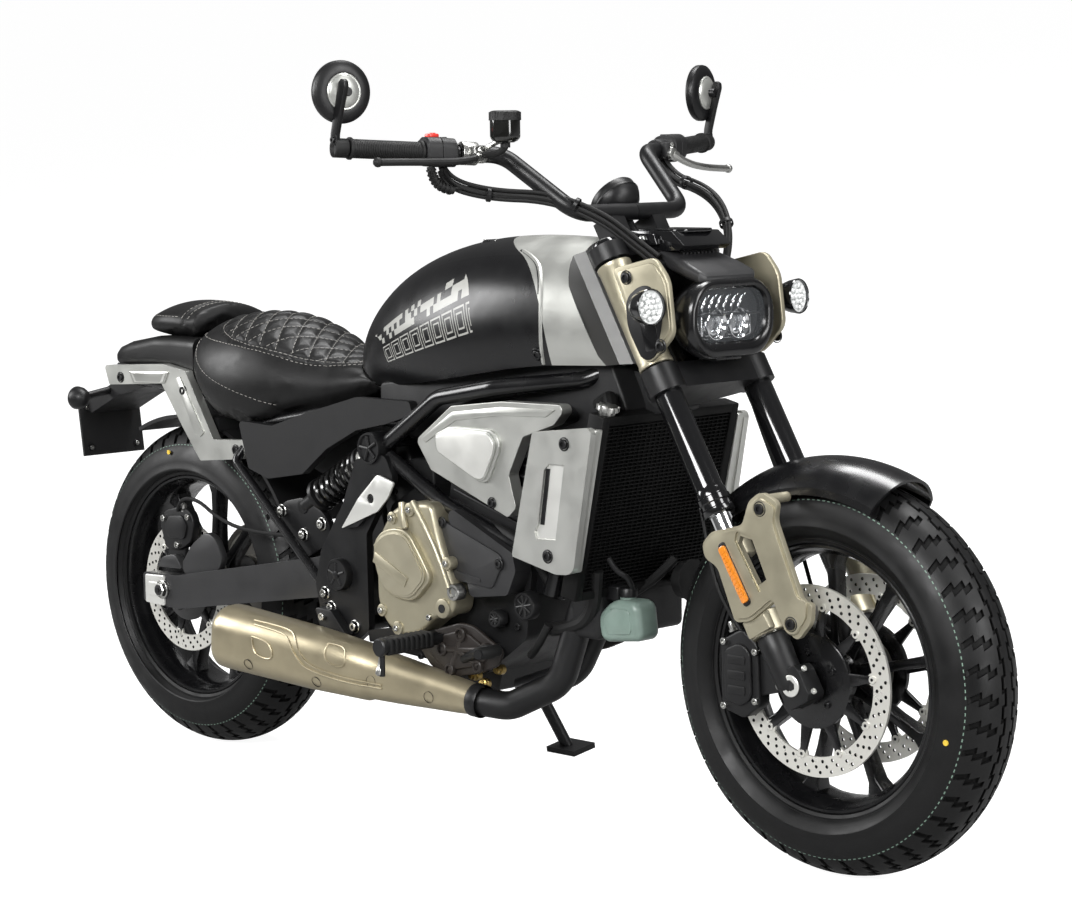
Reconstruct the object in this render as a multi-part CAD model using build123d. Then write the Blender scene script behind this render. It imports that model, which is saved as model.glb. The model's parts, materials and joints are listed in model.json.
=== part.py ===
from build123d import *
import os
from math import cos, sin, tan, radians, atan2, degrees, hypot

os.makedirs("parts", exist_ok=True)

# Cruiser motorcycle, millimetres. Drawn upright: X forward, Y to the left, Z up, with the
# ground under the rear axle at the origin. The last step leans it onto its side stand.
# The steering group is drawn about the front axle.
swingarm_length = 533.0     # pivot to rear axle, level
front_centre = 1002.0       # pivot to front axle, level
pivot_x = 533.0
pivot_z = 393.0
front_axle_height = 315.0
rear_axle_height = 310.0
rake = 30.0
fork_lead = -11.0           # fork legs, behind a line through the axle
stem_offset = 35.0
fork_track = 108.0
rail_y = 130.0
stand_lean = 8.5
running_fit = 0.05
axle_radius = 10.0
rear_x = pivot_x - swingarm_length
front_x = pivot_x + front_centre
front_place = Pos(front_x, 0, front_axle_height)
rear_place = Pos(rear_x, 0, rear_axle_height)
stem_n = fork_lead - stem_offset

# fork frame: n ahead of the fork line, y to the left, s up along the fork
fork_frame = Plane(
    origin=(0, 0, 0),
    x_dir=(cos(radians(rake)), 0, sin(radians(rake))),
    z_dir=(-sin(radians(rake)), 0, cos(radians(rake))),
)


def in_fork(shape):
    return fork_frame.location * shape


def fork_point(n, y, s):
    """Point of the fork frame, seen from the origin of the machine."""
    point = fork_frame.from_local_coords(Vector(n, y, s))
    return (point.X + front_x, point.Y, point.Z + front_axle_height)


def rod(start, end, radius):
    start = Vector(*start)
    end = Vector(*end)
    line = Plane(origin=start, z_dir=(end - start).normalized())
    return extrude(line * Circle(radius), (end - start).length)


def pipe(points, radius, bend):
    path = FilletPolyline(*points, radius=bend)
    return sweep(Plane(origin=path @ 0, z_dir=path % 0) * Circle(radius), path=path)


def side_plane(y):
    return Plane(origin=(0, y, 0), x_dir=(1, 0, 0), z_dir=(0, -1, 0))


def side_plate(points, y_low, y_high, corner=0.0):
    """Flat piece drawn in X and Z, between two Y places."""
    if corner:
        edge = FilletPolyline(*points, radius=corner, close=True)
    else:
        edge = Polyline(*points, close=True)
    return extrude(side_plane(y_high) * make_face(edge), y_high - y_low)


def cross_pin(x, z, y_low, y_high, radius):
    return extrude(side_plane(y_high) * Pos(x, z) * Circle(radius), y_high - y_low)


def span_box(x0, x1, y0, y1, z0, z1):
    return Pos((x0 + x1) / 2, (y0 + y1) / 2, (z0 + z1) / 2) * Box(x1 - x0, y1 - y0, z1 - z0)


def moved(points, dx, dz):
    return [(x + dx, z + dz) for x, z in points]


def mirrored(shape):
    return mirror(shape, about=Plane.XZ)


def pair(shape):
    return Compound(children=[shape, mirrored(shape)])


def fuse(*shapes):
    total = shapes[0]
    for shape in shapes[1:]:
        total = total + shape
    return total


def trim(shape, *others):
    for other in others:
        shape = shape - other
    return shape


# ---------------------------------------------------------------- wheels, about their axles
spoke_count = 9
rim_wall = 18.0
front_row = dict(outer=315.0, crown=70.0, bead=212.0, bead_y=52.0, rim_y=50.0, hub_r=34.0, hub_y=68.5,
                 spoke_w=15.0, first_spoke=-66.0)
rear_row = dict(outer=310.0, crown=80.0, bead=212.0, bead_y=62.0, rim_y=60.0, hub_r=44.0, hub_y=75.5,
                spoke_w=18.0, first_spoke=-73.0)
ring_plane = Plane(origin=(0, 0, 0), x_dir=(0, 1, 0), z_dir=(1, 0, 0))


def make_tyre(row):
    centre_r = row["outer"] - row["crown"]
    shoulder = radians(58)
    edge_y = row["crown"] * sin(shoulder)
    edge_r = centre_r + row["crown"] * cos(shoulder)
    side = (row["crown"], centre_r - 4.0)
    outline = [
        ThreePointArc((-edge_y, edge_r), (0, row["outer"]), (edge_y, edge_r)),
        ThreePointArc((edge_y, edge_r), side, (row["bead_y"], row["bead"])),
        Line((row["bead_y"], row["bead"]), (-row["bead_y"], row["bead"])),
        ThreePointArc((-row["bead_y"], row["bead"]), (-side[0], side[1]), (-edge_y, edge_r)),
    ]
    return revolve(ring_plane * make_face(outline), axis=Axis.Y)


def make_rim(row):
    half = row["rim_y"]
    bead = row["bead"]
    inner = bead - rim_wall
    ring_points = [
        (-half, bead), (half, bead), (half, inner), (half - 8, inner - 2), (half - 20, inner - 3),
        (-half + 20, inner - 3), (-half + 8, inner - 2), (-half, inner),
    ]
    wheel = revolve(ring_plane * make_face(Polyline(*ring_points, close=True)), axis=Axis.Y)
    wheel = wheel + cross_pin(0, 0, -row["hub_y"], row["hub_y"], row["hub_r"])
    for index in range(spoke_count):
        angle = row["first_spoke"] + index * 360.0 / spoke_count
        spoke = span_box(20, inner + 1, -17, 17, -row["spoke_w"] / 2, row["spoke_w"] / 2)
        wheel = wheel + Rot(0, -angle, 0) * spoke
    return wheel - cross_pin(0, 0, -200, 200, axle_radius + running_fit)


def make_disc(outer_r, inner_r, carrier_r, hub_hole, thick, arms):
    face = fuse(Circle(outer_r) - Circle(inner_r), Circle(carrier_r) - Circle(hub_hole))
    for index in range(arms):
        arm = Pos((carrier_r + inner_r) / 2, 0) * Rectangle(inner_r - carrier_r + 16, 16)
        face = face + Rot(0, 0, index * 360.0 / arms) * arm
    return extrude(side_plane(thick / 2) * face, thick)


disc_thick = 5.0
disc_seat = disc_thick / 2
front_disc_r = 150.0
front_disc_y = front_row["hub_y"] + disc_seat
rear_disc_y = -rear_row["hub_y"] - disc_seat
sprocket_y = (91.0, 100.0)
sprocket_rear_r = 84.0
sprocket_hub = cross_pin(0, 0, rear_row["hub_y"], sprocket_y[0], 42)
sprocket = trim(fuse(sprocket_hub, cross_pin(0, 0, *sprocket_y, sprocket_rear_r)),
                cross_pin(0, 0, 60, 110, axle_radius + running_fit))
front_tyre = make_tyre(front_row)
front_rim = make_rim(front_row)
front_discs = pair(Pos(0, front_disc_y, 0) * make_disc(front_disc_r, 118.0, 74.0, 30.0, disc_thick, 10))
rear_tyre = make_tyre(rear_row)
rear_rim = fuse(make_rim(rear_row), sprocket)
rear_disc = Pos(0, rear_disc_y, 0) * make_disc(125.0, 95.0, 66.0, 30.0, disc_thick, 5)

# ---------------------------------------------------------------- main frame
head_low = 552.0
head_high = 738.0
stem_radius = 14.0
head_tube = front_place * in_fork(Pos(stem_n, 0, (head_low + head_high) / 2) * Cylinder(32.0, head_high - head_low))
stem_bore = front_place * in_fork(Pos(stem_n, 0, 645) * Cylinder(stem_radius + running_fit, 400.0))
rail_radius = 14.0
upper_rail = pipe(
    [fork_point(stem_n - 12, -16, 620), (front_x - 450, -92, 760), (900, -rail_y, 740), (765, -rail_y, 716),
     (632, -rail_y, 628), (585, -rail_y, 560)], rail_radius, 55)
seat_rail = pipe([(690, -rail_y + 8, 668), (430, -108, 668), (240, -92, 636), (60, -84, 690), (-150, -78, 700)],
                 11.0, 60)
strut = pipe([(222, -100, 606), (214, -126, 570), (470, -142, 366)], 8.5, 14)
# cross tubes: x, z, half length, radius
cross_table = [(640, 634, rail_y, 12.0), (60, 690, 84, 10.0), (-140, 700, 78, 9.0), (430, 668, 108, 10.0),
               (585, 566, rail_y, 12.0)]
cross_tubes = [cross_pin(x, z, -half, half, radius) for x, z, half, radius in cross_table]
rails = fuse(upper_rail, seat_rail, strut)
main_frame = trim(fuse(head_tube, rails, mirrored(rails), *cross_tubes), stem_bore)

cradle_radius = 13.0
lower_rail = pipe([(640, -rail_y, 606), (765, -rail_y, 541), (945, -rail_y, 479), (1035, -112, 474)],
                  cradle_radius, 45)
down_tube = pipe([fork_point(stem_n - 8, -14, 572), (front_x - 423, -46, 690), (1035, -104, 500), (1010, -112, 400)],
                 cradle_radius, 40)
engine_hanger = side_plate([(930, 470), (1046, 495), (1030, 390), (960, 400)], -104, -96, 8)
cradle_side = fuse(lower_rail, down_tube, engine_hanger)
stem_clear = front_place * in_fork(Pos(stem_n, 0, 560) * Cylinder(stem_radius + 8, 120))
front_cradle = trim(fuse(cradle_side, mirrored(cradle_side)), main_frame, stem_clear)

plate_y = (-152.0, -138.0)
pivot_outline = [
    (575, 600), (650, 612), (672, 572), (600, 470), (602, 300), (560, 270), (478, 305),
    (462, 370), (478, 430), (540, 520),
]
pivot_plate = side_plate(pivot_outline, *plate_y, 14)
pivot_cap = cross_pin(pivot_x, pivot_z, plate_y[0] - 14, plate_y[0], 27)
pivot_bolts = [cross_pin(x, z, plate_y[0] - 6, plate_y[0], 9.0) for x, z in ((488, 329), (559, 299))]
pivot_inset = side_plate([(533, 475), (622, 577), (666, 572), (645, 530), (585, 482)], plate_y[0] - 8, plate_y[0], 8)
pivot_right = trim(fuse(pivot_plate, pivot_cap, pivot_inset, *pivot_bolts), main_frame, front_cradle)
pivot_cross = cross_pin(545, 300, plate_y[1], -plate_y[1], 13.0)
pivot_pair = fuse(pivot_right, mirrored(pivot_right), pivot_cross)

# ---------------------------------------------------------------- engine
crankcase = side_plate(
    [(600, 330), (640, 262), (860, 250), (958, 320), (972, 440), (900, 505), (700, 560), (628, 520)],
    -118, 118, 18)
cylinders = side_plate([(760, 500), (945, 440), (1002, 640), (990, 690), (850, 712), (800, 690)], -112, 112, 14)
sump = side_plate([(690, 275), (700, 222), (850, 212), (868, 275)], -80, 80, 10)
intake_box = side_plate([(725, 640), (812, 706), (1040, 716), (1075, 696), (1000, 668), (985, 640), (880, 560)],
                        -124, 124, 10)
chain_room = side_plate([(590, 330), (700, 340), (700, 462), (590, 462)], 84, 125)
engine_block = trim(fuse(crankcase, cylinders, sump, intake_box), main_frame, front_cradle, pivot_pair, chain_room)

clutch_outline = [
    (742, 552), (800, 528), (838, 446), (830, 360), (812, 318), (700, 312), (664, 372), (648, 448), (672, 520),
]
clutch_step = [(728, 516), (772, 496), (812, 420), (790, 372), (700, 372), (674, 420), (674, 472)]
clutch_body = side_plate(clutch_outline, -172, -118, 26)
clutch_face = side_plate(clutch_step, -186, -172, 14)
clutch_cover = trim(fuse(clutch_body, clutch_face), engine_block, main_frame, front_cradle, pivot_pair)

front_cover = side_plate([(796, 544), (965, 470), (972, 440), (952, 398), (862, 386), (848, 452)], -156, -118, 12)
left_cover = side_plate(
    [(742, 540), (820, 520), (862, 440), (840, 350), (740, 320), (668, 360), (655, 450), (680, 520)], 118, 172, 30)
sprocket_cover = side_plate([(606, 470), (650, 480), (664, 360), (640, 300), (606, 310)], 118, 150, 12)
front_cover_left = side_plate([(860, 500), (965, 466), (972, 440), (952, 398), (864, 386), (868, 440)], 118, 150, 10)
engine_covers = trim(
    fuse(front_cover, left_cover, sprocket_cover, front_cover_left),
    engine_block, clutch_cover, main_frame, front_cradle, pivot_pair)

airbox_outline = [
    (727, 643), (815, 706), (935, 720), (1090, 722), (1057, 688), (985, 664), (951, 599), (967, 545),
    (948, 527), (879, 552), (763, 594),
]
airbox_inset = [(789, 641), (802, 666), (921, 663), (903, 591), (888, 590), (800, 625)]
airbox_right = fuse(side_plate(airbox_outline, -148, -124, 10), side_plate(airbox_inset, -156, -148, 9))
airbox_covers = pair(trim(airbox_right, main_frame, front_cradle, engine_block))

# ---------------------------------------------------------------- radiator
radiator_lean = 13.0
radiator_x = front_x - 401.0
radiator_z = 560.0
radiator_half = 165.0
radiator_frame = Pos(radiator_x, 0, radiator_z) * Rot(0, radiator_lean, 0)
radiator_core = radiator_frame * Box(34, 2 * radiator_half, 312)
radiator_cap = radiator_frame * Pos(0, -140, 162) * Cylinder(17, 14)
radiator_arm = span_box(1030, radiator_x - 8, 44, 56, 548, 572)
radiator = trim(fuse(radiator_core, radiator_cap, radiator_arm, mirrored(radiator_arm)), main_frame, front_cradle)

shroud_y = (-192.0, -180.0)
shroud_outline = [(-484, 680), (-359, 694), (-352, 686), (-395, 462), (-407, 454), (-435, 452), (-535, 473)]
shroud_lip = [(-385, 690), (-352, 690), (-402, 456), (-435, 456)]
shroud_right = trim(
    fuse(side_plate(moved(shroud_outline, front_x, 0), *shroud_y, 9),
         side_plate(moved(shroud_lip, front_x, 0), shroud_y[1], -radiator_half, 4)), radiator)
radiator_shrouds = pair(shroud_right)

bottle_outline = [(-437, 372), (-399, 404), (-343, 404), (-335, 340), (-425, 330)]
bottle = side_plate(moved(bottle_outline, front_x, 0), -100, -48, 10)
bottle_neck = rod((front_x - 385, -74, 400), (front_x - 385, -74, 422), 13)
bottle_strap = span_box(front_x - 432, front_x - 395, -88, -60, 396, 424)
coolant_bottle = trim(fuse(bottle, bottle_neck, bottle_strap), radiator)


# ---------------------------------------------------------------- tank and seats
def soft_section(x, low, high, half, waist, foot, crest):
    """Closed outline across the machine: flat foot, round flanks, crowned top."""
    side_y = crest * half
    side_z = high - (high - waist) * (1 - (1 - crest ** 2) ** 0.5)
    outline = [
        Line((-foot, low), (foot, low)),
        ThreePointArc((foot, low), (half, waist), (side_y, side_z)),
        ThreePointArc((side_y, side_z), (0, high), (-side_y, side_z)),
        ThreePointArc((-side_y, side_z), (-half, waist), (-foot, low)),
    ]
    return Plane(origin=(x, 0, 0), x_dir=(0, 1, 0), z_dir=(1, 0, 0)) * make_face(outline)


def soft_body(rows, crest):
    return loft([soft_section(*row, crest) for row in rows])


# x, low, high, half width, waist height, half width of the foot
tank_rows = [
    (484, 728, 782, 44, 752, 34),
    (540, 722, 874, 90, 778, 66),
    (640, 730, 940, 124, 806, 96),
    (770, 747, 978, 142, 830, 118),
    (front_x - 605, 772, 990, 146, 850, 124),
    (front_x - 475, 784, 984, 138, 852, 118),
    (front_x - 365, 788, 966, 130, 852, 112),
]
tank_body = soft_body(tank_rows, 0.62)
# plan of the space the fork sweeps from lock to lock: n, y
sweep_half = [(-88, 68), (-104, 82), (-104, 122), (-92, 140), (-80, 170)]
sweep_plan = [(n, -y) for n, y in sweep_half] + [(170, -170), (170, 170)] + sweep_half[::-1]
sweep_room = front_place * in_fork(Pos(0, 0, 480) * extrude(make_face(Polyline(*sweep_plan, close=True)), 420))
tank_body = trim(tank_body, main_frame, sweep_room)
saddle_x = front_x - 512.0      # foremost reach of the black shell on the flank
saddle_edge = [
    ThreePointArc((saddle_x - 47, 700), (saddle_x, 868), (saddle_x - 96, 962)),
    Line((saddle_x - 96, 962), (saddle_x - 240, 1010)),
    Line((saddle_x - 240, 1010), (saddle_x + 200, 1010)),
    Line((saddle_x + 200, 1010), (saddle_x + 200, 700)),
    Line((saddle_x + 200, 700), (saddle_x - 47, 700)),
]
saddle_prism = extrude(side_plane(200) * make_face(saddle_edge), 400)
tank_saddle = tank_body & saddle_prism
fuel_tank = tank_body - saddle_prism

seat_rows = [
    (60, 704, 796, 100, 752, 84),
    (110, 664, 832, 136, 742, 104),
    (190, 634, 840, 152, 730, 118),
    (270, 640, 828, 150, 728, 116),
    (344, 656, 796, 136, 720, 104),
    (410, 672, 768, 114, 716, 88),
    (480, 694, 758, 92, 722, 72),
    (590, 716, 742, 62, 728, 50),
]
rider_seat = trim(soft_body(seat_rows, 0.74), tank_body, main_frame, airbox_covers)
pad_rows = [
    (-112, 792, 822, 66, 806, 56),
    (-74, 790, 846, 92, 812, 80),
    (-10, 789, 855, 99, 814, 86),
    (60, 790, 850, 95, 812, 84),
]
pillion_pad = trim(soft_body(pad_rows, 0.8), rider_seat)

tail_outline = [(-196, 738), (-186, 758), (-140, 776), (-60, 788), (60, 788), (62, 712), (-20, 728), (-186, 726)]
undertray = side_plate([(-186, 726), (-20, 728), (46, 700), (120, 612), (80, 618), (20, 662), (-150, 690)], -60, 60, 6)
tail_cowl = trim(fuse(side_plate(tail_outline, -98, 98, 8), undertray), main_frame, rider_seat, pillion_pad)

panel_outline = [
    (236, 646), (262, 560), (318, 545), (412, 560), (480, 610), (560, 648), (640, 664), (706, 684), (698, 706),
    (560, 706), (430, 672), (330, 642),
]
side_panel = trim(side_plate(panel_outline, -136, -118, 8), main_frame, rider_seat, tank_body, pivot_pair,
                  airbox_covers, engine_block, front_cradle)
side_panels = pair(side_panel)

tail_bracket_outline = [
    (-192, 727), (-10, 737), (58, 727), (138, 603), (237, 608), (221, 572), (97, 561), (46, 622), (-14, 700),
    (-178, 690),
]
bracket_right = trim(side_plate(tail_bracket_outline, -116, -98, 6), main_frame, rider_seat, tail_cowl, side_panels)
tail_brackets = pair(bracket_right)

hugger_radius = 321.0
hugger_shell = revolve(ring_plane * Pos(0, hugger_radius + 3.5) * Rectangle(150, 7), axis=Axis.Y)
hugger = rear_place * (hugger_shell & side_plate([(0, 0), (-180, 370), (120, 370), (330, 210), (330, 160)], -90, 90))
hugger_stay = span_box(60, 120, -88, 88, 616, 640)
plate_holder = Pos(-332, 0, 592) * Rot(0, -8, 0) * Box(5, 148, 112)
plate_arm = side_plate(
    [(-338, 640), (-322, 650), (-236, 690), (-150, 700), (-110, 690), (-230, 662), (-318, 622)], -58, 58, 3)
rear_fender = trim(fuse(hugger, hugger_stay, plate_holder, plate_arm), main_frame, tail_cowl, tail_brackets,
                   rider_seat)
tail_lamp = side_plate([(-206, 722), (-196, 728), (-186, 726), (-186, 700), (-200, 700)], -60, 60)
signal_side = fuse(rod((-258, -50, 672), (-258, -112, 664), 8), Pos(-258, -126, 660) * Sphere(23))
rear_lamps = trim(fuse(tail_lamp, signal_side, mirrored(signal_side)), rear_fender, tail_cowl, tail_brackets,
                  main_frame)

# ---------------------------------------------------------------- swingarm and rear parts
arm_y = (-136.0, -106.0)
arm_rear = [(40, 30), (-62, 28), (-62, -28), (40, -34)]
arm_front = [(440, 338), (520, 352), (560, 380), (560, 412), (520, 432), (440, 412)]
arm_right = side_plate(moved(arm_rear, rear_x, rear_axle_height) + arm_front, *arm_y, 8)
arm_cross = side_plate([(395, 350), (440, 342), (500, 360), (500, 410), (440, 408), (395, 400)],
                       arm_y[1], -arm_y[1], 8)
rear_axle = rear_place * cross_pin(0, 0, -150, 150, axle_radius)
axle_spacer = rear_place * cross_pin(0, 0, arm_y[1], -86.5, 20)
swingarm = trim(fuse(arm_right, mirrored(arm_right), arm_cross, rear_axle, axle_spacer), main_frame, pivot_pair)

shock_y = -112.0
shock_top = (600, shock_y, 612)
shock_foot = (397, shock_y, 500)
shock_rod = rod(shock_top, shock_foot, 7)
shock_body = rod((590, shock_y, 606), (520, shock_y, 568), 22)
shock_spring = rod((575, shock_y, 598), (430, shock_y, 519), 30)
shock_lower = rod((440, shock_y, 524), shock_foot, 15)
shock_link = side_plate([(335, 492), (397, 520), (468, 478), (470, 430), (400, 400), (360, 430)], -120, -106, 8)
rear_shock = trim(fuse(shock_rod, shock_body, shock_spring, shock_lower, shock_link),
                  main_frame, pivot_pair, swingarm, side_panels)

carrier_outline = [(-30, 8), (30, 8), (60, 110), (20, 150), (-40, 130)]
caliper_outline_rear = [(-30, 75), (50, 70), (62, 130), (0, 152), (-40, 130)]
rear_caliper = rear_place * fuse(side_plate(carrier_outline, -106, -94, 6),
                                 side_plate(caliper_outline_rear, -108, -86, 6))
rear_caliper = trim(rear_caliper, swingarm)

# ---------------------------------------------------------------- exhaust
header_right = pipe([(985, -55, 620), (1062, -60, 596), (1066, -72, 430), (1020, -100, 252), (935, -136, 206),
                     (880, -160, 212)], 24.0, 56)
header_left = pipe([(985, 55, 620), (1058, 50, 596), (1058, 10, 430), (1010, -50, 262), (925, -104, 226)], 22.0, 52)
exhaust_headers = trim(fuse(header_right, header_left), engine_block, main_frame, front_cradle, radiator,
                       coolant_bottle, radiator_shrouds)

muffler_front = Vector(884, -162, 214)
muffler_rear = Vector(292, -214, 266)
# share of the length, half width, half height, corner
muffler_rows = [(0.0, 25, 25, 22), (0.28, 36, 42, 30), (0.62, 46, 54, 38), (1.0, 50, 58, 42)]
muffler_faces = []
for share, half_w, half_h, corner in muffler_rows:
    run = muffler_rear - muffler_front
    cut = Plane(origin=muffler_front + run * share, x_dir=(0, 1, 0), z_dir=run.normalized())
    muffler_faces.append(cut * RectangleRounded(2 * half_w, 2 * half_h, corner))
muffler_hanger = side_plate([(478, 330), (520, 330), (560, 290), (540, 262), (500, 270)], -170, -152, 6)
muffler = trim(fuse(loft(muffler_faces), muffler_hanger), exhaust_headers, pivot_pair, swingarm)

# ---------------------------------------------------------------- foot controls
peg = rod((790, -150, 311), (790, -300, 311), 13)
peg_bracket = side_plate([(760, 340), (850, 330), (868, 262), (800, 250), (745, 290)], *plate_y, 10)
bracket_leg = side_plate([(600, 300), (760, 330), (760, 296), (602, 280)], *plate_y, 4)
foot_lever = pipe([(850, -160, 280), (905, -168, 300), (960, -190, 312), (966, -240, 312)], 8, 16)
peg_feeler = rod((790, -292, 300), (790, -292, 262), 5)
foot_side = fuse(peg, peg_bracket, bracket_leg, foot_lever, peg_feeler)
foot_controls_right = trim(foot_side, clutch_cover, engine_block, engine_covers, pivot_pair, muffler,
                           exhaust_headers)
foot_controls_left = trim(mirrored(foot_side), engine_block, engine_covers, pivot_pair)

# ---------------------------------------------------------------- drive chain, left side
chain_y = (90.0, 102.0)
chain_half = 6.0
gearbox_shaft = (640.0, 400.0)
sprocket_front_r = 40.0
chain_rear_r = sprocket_rear_r + 2 * chain_half


def belt_loop(grow):
    """Face between two round ends, the outline of a chain on its sprockets."""
    ends = [(rear_x, rear_axle_height, chain_rear_r + grow), (*gearbox_shaft, sprocket_front_r + grow)]
    (x0, z0, r0), (x1, z1, r1) = ends
    tilt = atan2(z1 - z0, x1 - x0)
    spread = radians(90) - atan2(r0 - r1, hypot(x1 - x0, z1 - z0))
    points = []
    for x, z, r, sign in ((x0, z0, r0, 1), (x1, z1, r1, 1), (x1, z1, r1, -1), (x0, z0, r0, -1)):
        points.append((x + r * cos(tilt + sign * spread), z + r * sin(tilt + sign * spread)))
    body = make_face(Polyline(*points, close=True))
    return side_plane(0) * fuse(body, Pos(x0, z0) * Circle(r0), Pos(x1, z1) * Circle(r1))


chain_band = extrude(belt_loop(chain_half) - belt_loop(-chain_half), chain_y[1] - chain_y[0])
front_sprocket = fuse(cross_pin(*gearbox_shaft, *chain_y, sprocket_front_r - chain_half),
                      cross_pin(*gearbox_shaft, 84, chain_y[0], 14))
drive_chain = fuse(Pos(0, chain_y[1], 0) * chain_band, front_sprocket)

# ---------------------------------------------------------------- yokes and fork, fork frame
tube_radius = 23.0
yoke_wall = 8.0


def yoke(s_low, s_high, boss_r, rear_n, front_n):
    """Clamp round both tubes, with a boss for the stem and a web between them."""
    height = s_high - s_low
    middle = (s_low + s_high) / 2
    clamps = [Pos(fork_lead, y, middle) * Cylinder(tube_radius + yoke_wall, height) for y in (-fork_track, fork_track)]
    boss = Pos(stem_n, 0, middle) * Cylinder(boss_r, height)
    web_points = [(stem_n - boss_r + 4, -20), (rear_n, -fork_track), (front_n, -fork_track), (front_n, fork_track),
                  (rear_n, fork_track), (stem_n - boss_r + 4, 20)]
    web = Pos(0, 0, s_low) * extrude(make_face(Polyline(*web_points, close=True)), height)
    return fuse(web, boss, *clamps)


fork_range = 28.0
stem = Pos(stem_n, 0, 653) * Cylinder(stem_radius, 224.0)
tube_room = fuse(*[Pos(fork_lead, y, 560) * Cylinder(tube_radius, 500) for y in (-fork_track, fork_track)])
fork_yokes = in_fork(trim(
    fuse(yoke(506, 549, 26, fork_lead - 24, fork_lead + 24), yoke(741, 769, 24, fork_lead - 22, fork_lead + 26), stem),
    tube_room))
fork_tubes = in_fork(fuse(*[
    Pos(fork_lead, y, 536) * Cylinder(tube_radius, 488) for y in (-fork_track, fork_track)]))

stanchion_radius = 18.5
leg_radius = 24.0
leg_y = 106.0
leg_parts = []
for side in (-1, 1):
    leg_parts.append(Pos(fork_lead, side * fork_track, 190) * Cylinder(stanchion_radius, 204))
    leg_parts.append(Pos(fork_lead, side * fork_track, 40) * Cylinder(leg_radius, 96))
    leg_parts.append(Pos(0, side * leg_y, -4) * Box(52, 38, 60))
    leg_parts.append(Pos(0, side * 84, 0) * Rot(90, 0, 0) * Cylinder(17, 10))
leg_axle = Rot(90, 0, 0) * Cylinder(axle_radius, 260)
fork_legs = in_fork(fuse(*leg_parts, leg_axle))

shroud_tube = Pos(fork_lead, -fork_track, 645) * Cylinder(tube_radius + 4.5, 184)
ear_outline = [(8, 722), (96, 694), (104, 650), (70, 570), (20, 556), (-4, 556)]
ear_plane = Plane(origin=(0, -128, 0), x_dir=(1, 0, 0), z_dir=(0, -1, 0))
ear = extrude(ear_plane * make_face(FilletPolyline(*ear_outline, radius=12, close=True)), 10)
ear_web = Pos(14, -120, 640) * Box(30, 20, 150)
fork_shrouds = in_fork(pair(trim(fuse(shroud_tube, ear, ear_web), tube_room)))

# ---------------------------------------------------------------- headlamp, about the front axle
lamp_x = -217.0             # front face of the bezel
lamp_z = 553.0              # middle of the lens
bezel_drop = 5.0
lens_half_w = 80.0
lens_half_h = 41.0
lens_depth = 24.0


def lamp_section(x, half_w, half_h, corner, drop=0.0):
    plane = Plane(origin=(x, 0, lamp_z - drop), x_dir=(0, 1, 0), z_dir=(1, 0, 0))
    return plane * RectangleRounded(2 * half_w, 2 * half_h, corner)


# depth behind the face, growth over the lens in width and height
bezel_rows = [(88, -22, -6), (52, 10, 15), (20, 21, 22), (0, 19, 20)]
bezel_faces = [
    lamp_section(lamp_x - depth, lens_half_w + wide, lens_half_h + high, lens_half_h + high - 5, bezel_drop)
    for depth, wide, high in bezel_rows
]
lens_corner = lens_half_h - 6
headlamp_lens = extrude(lamp_section(lamp_x - lens_depth, lens_half_w, lens_half_h, lens_corner), lens_depth + 3)
lamp_ears = rod((lamp_x - 68, -126, lamp_z - 6), (lamp_x - 68, 126, lamp_z - 6), 9)
headlamp_body = trim(fuse(loft(bezel_faces), lamp_ears), headlamp_lens, fork_tubes, fork_shrouds)
cowl_low = lamp_z + lens_half_h + 20
cowl_outline = [(-234, cowl_low + 2), (-228, cowl_low + 12), (-296, 648), (-362, 677), (-384, 672), (-300, 620),
                (-282, cowl_low - 6)]
cowl_half = 60.0
cover_outline = [(-388, 689), (-295, 689), (-268, 658), (-355, 652)]
headlamp_cowl = trim(fuse(side_plate(cowl_outline, -cowl_half, cowl_half, 4), side_plate(cover_outline, -58, 58, 6)),
                     headlamp_body, fork_yokes, fork_tubes)
signal_point = (-231.0, -179.0, 574.0)
signal_stalk = rod((-273, -128, 569), (-243, -170, 573), 9)
signal_bell = rod((signal_point[0] - 42, signal_point[1], signal_point[2]), signal_point, 23)
front_signals = pair(trim(fuse(signal_stalk, signal_bell), fork_shrouds))

# ---------------------------------------------------------------- handlebar and controls
bar_end = Vector(-661, -434, 825)
bar_bend = Vector(-564, -170, 810)
bar_foot = (-440, -127, 715)
bar_radius = 14.0
grip_bar_radius = 11.0
grip_axis = (bar_bend - bar_end).normalized()
thick_start = 204.0


def bar_point(distance, drop=0.0, ahead=0.0):
    point = bar_end + grip_axis * distance
    return (point.X + ahead, point.Y, point.Z + drop)


def along_bar(distance, radius, length):
    return rod(bar_point(distance), bar_point(distance + length), radius)


bar_half = fuse(
    pipe([(-435, 0, 715), bar_foot, tuple(bar_bend), bar_point(thick_start)], bar_radius, 42),
    along_bar(-8, grip_bar_radius, thick_start + 8))
riser = in_fork(Pos(-34, -48, 800) * Box(44, 30, 66))
bar_side = fuse(bar_half, riser)
handlebar = trim(fuse(bar_side, mirrored(bar_side)), fork_yokes)

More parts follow.
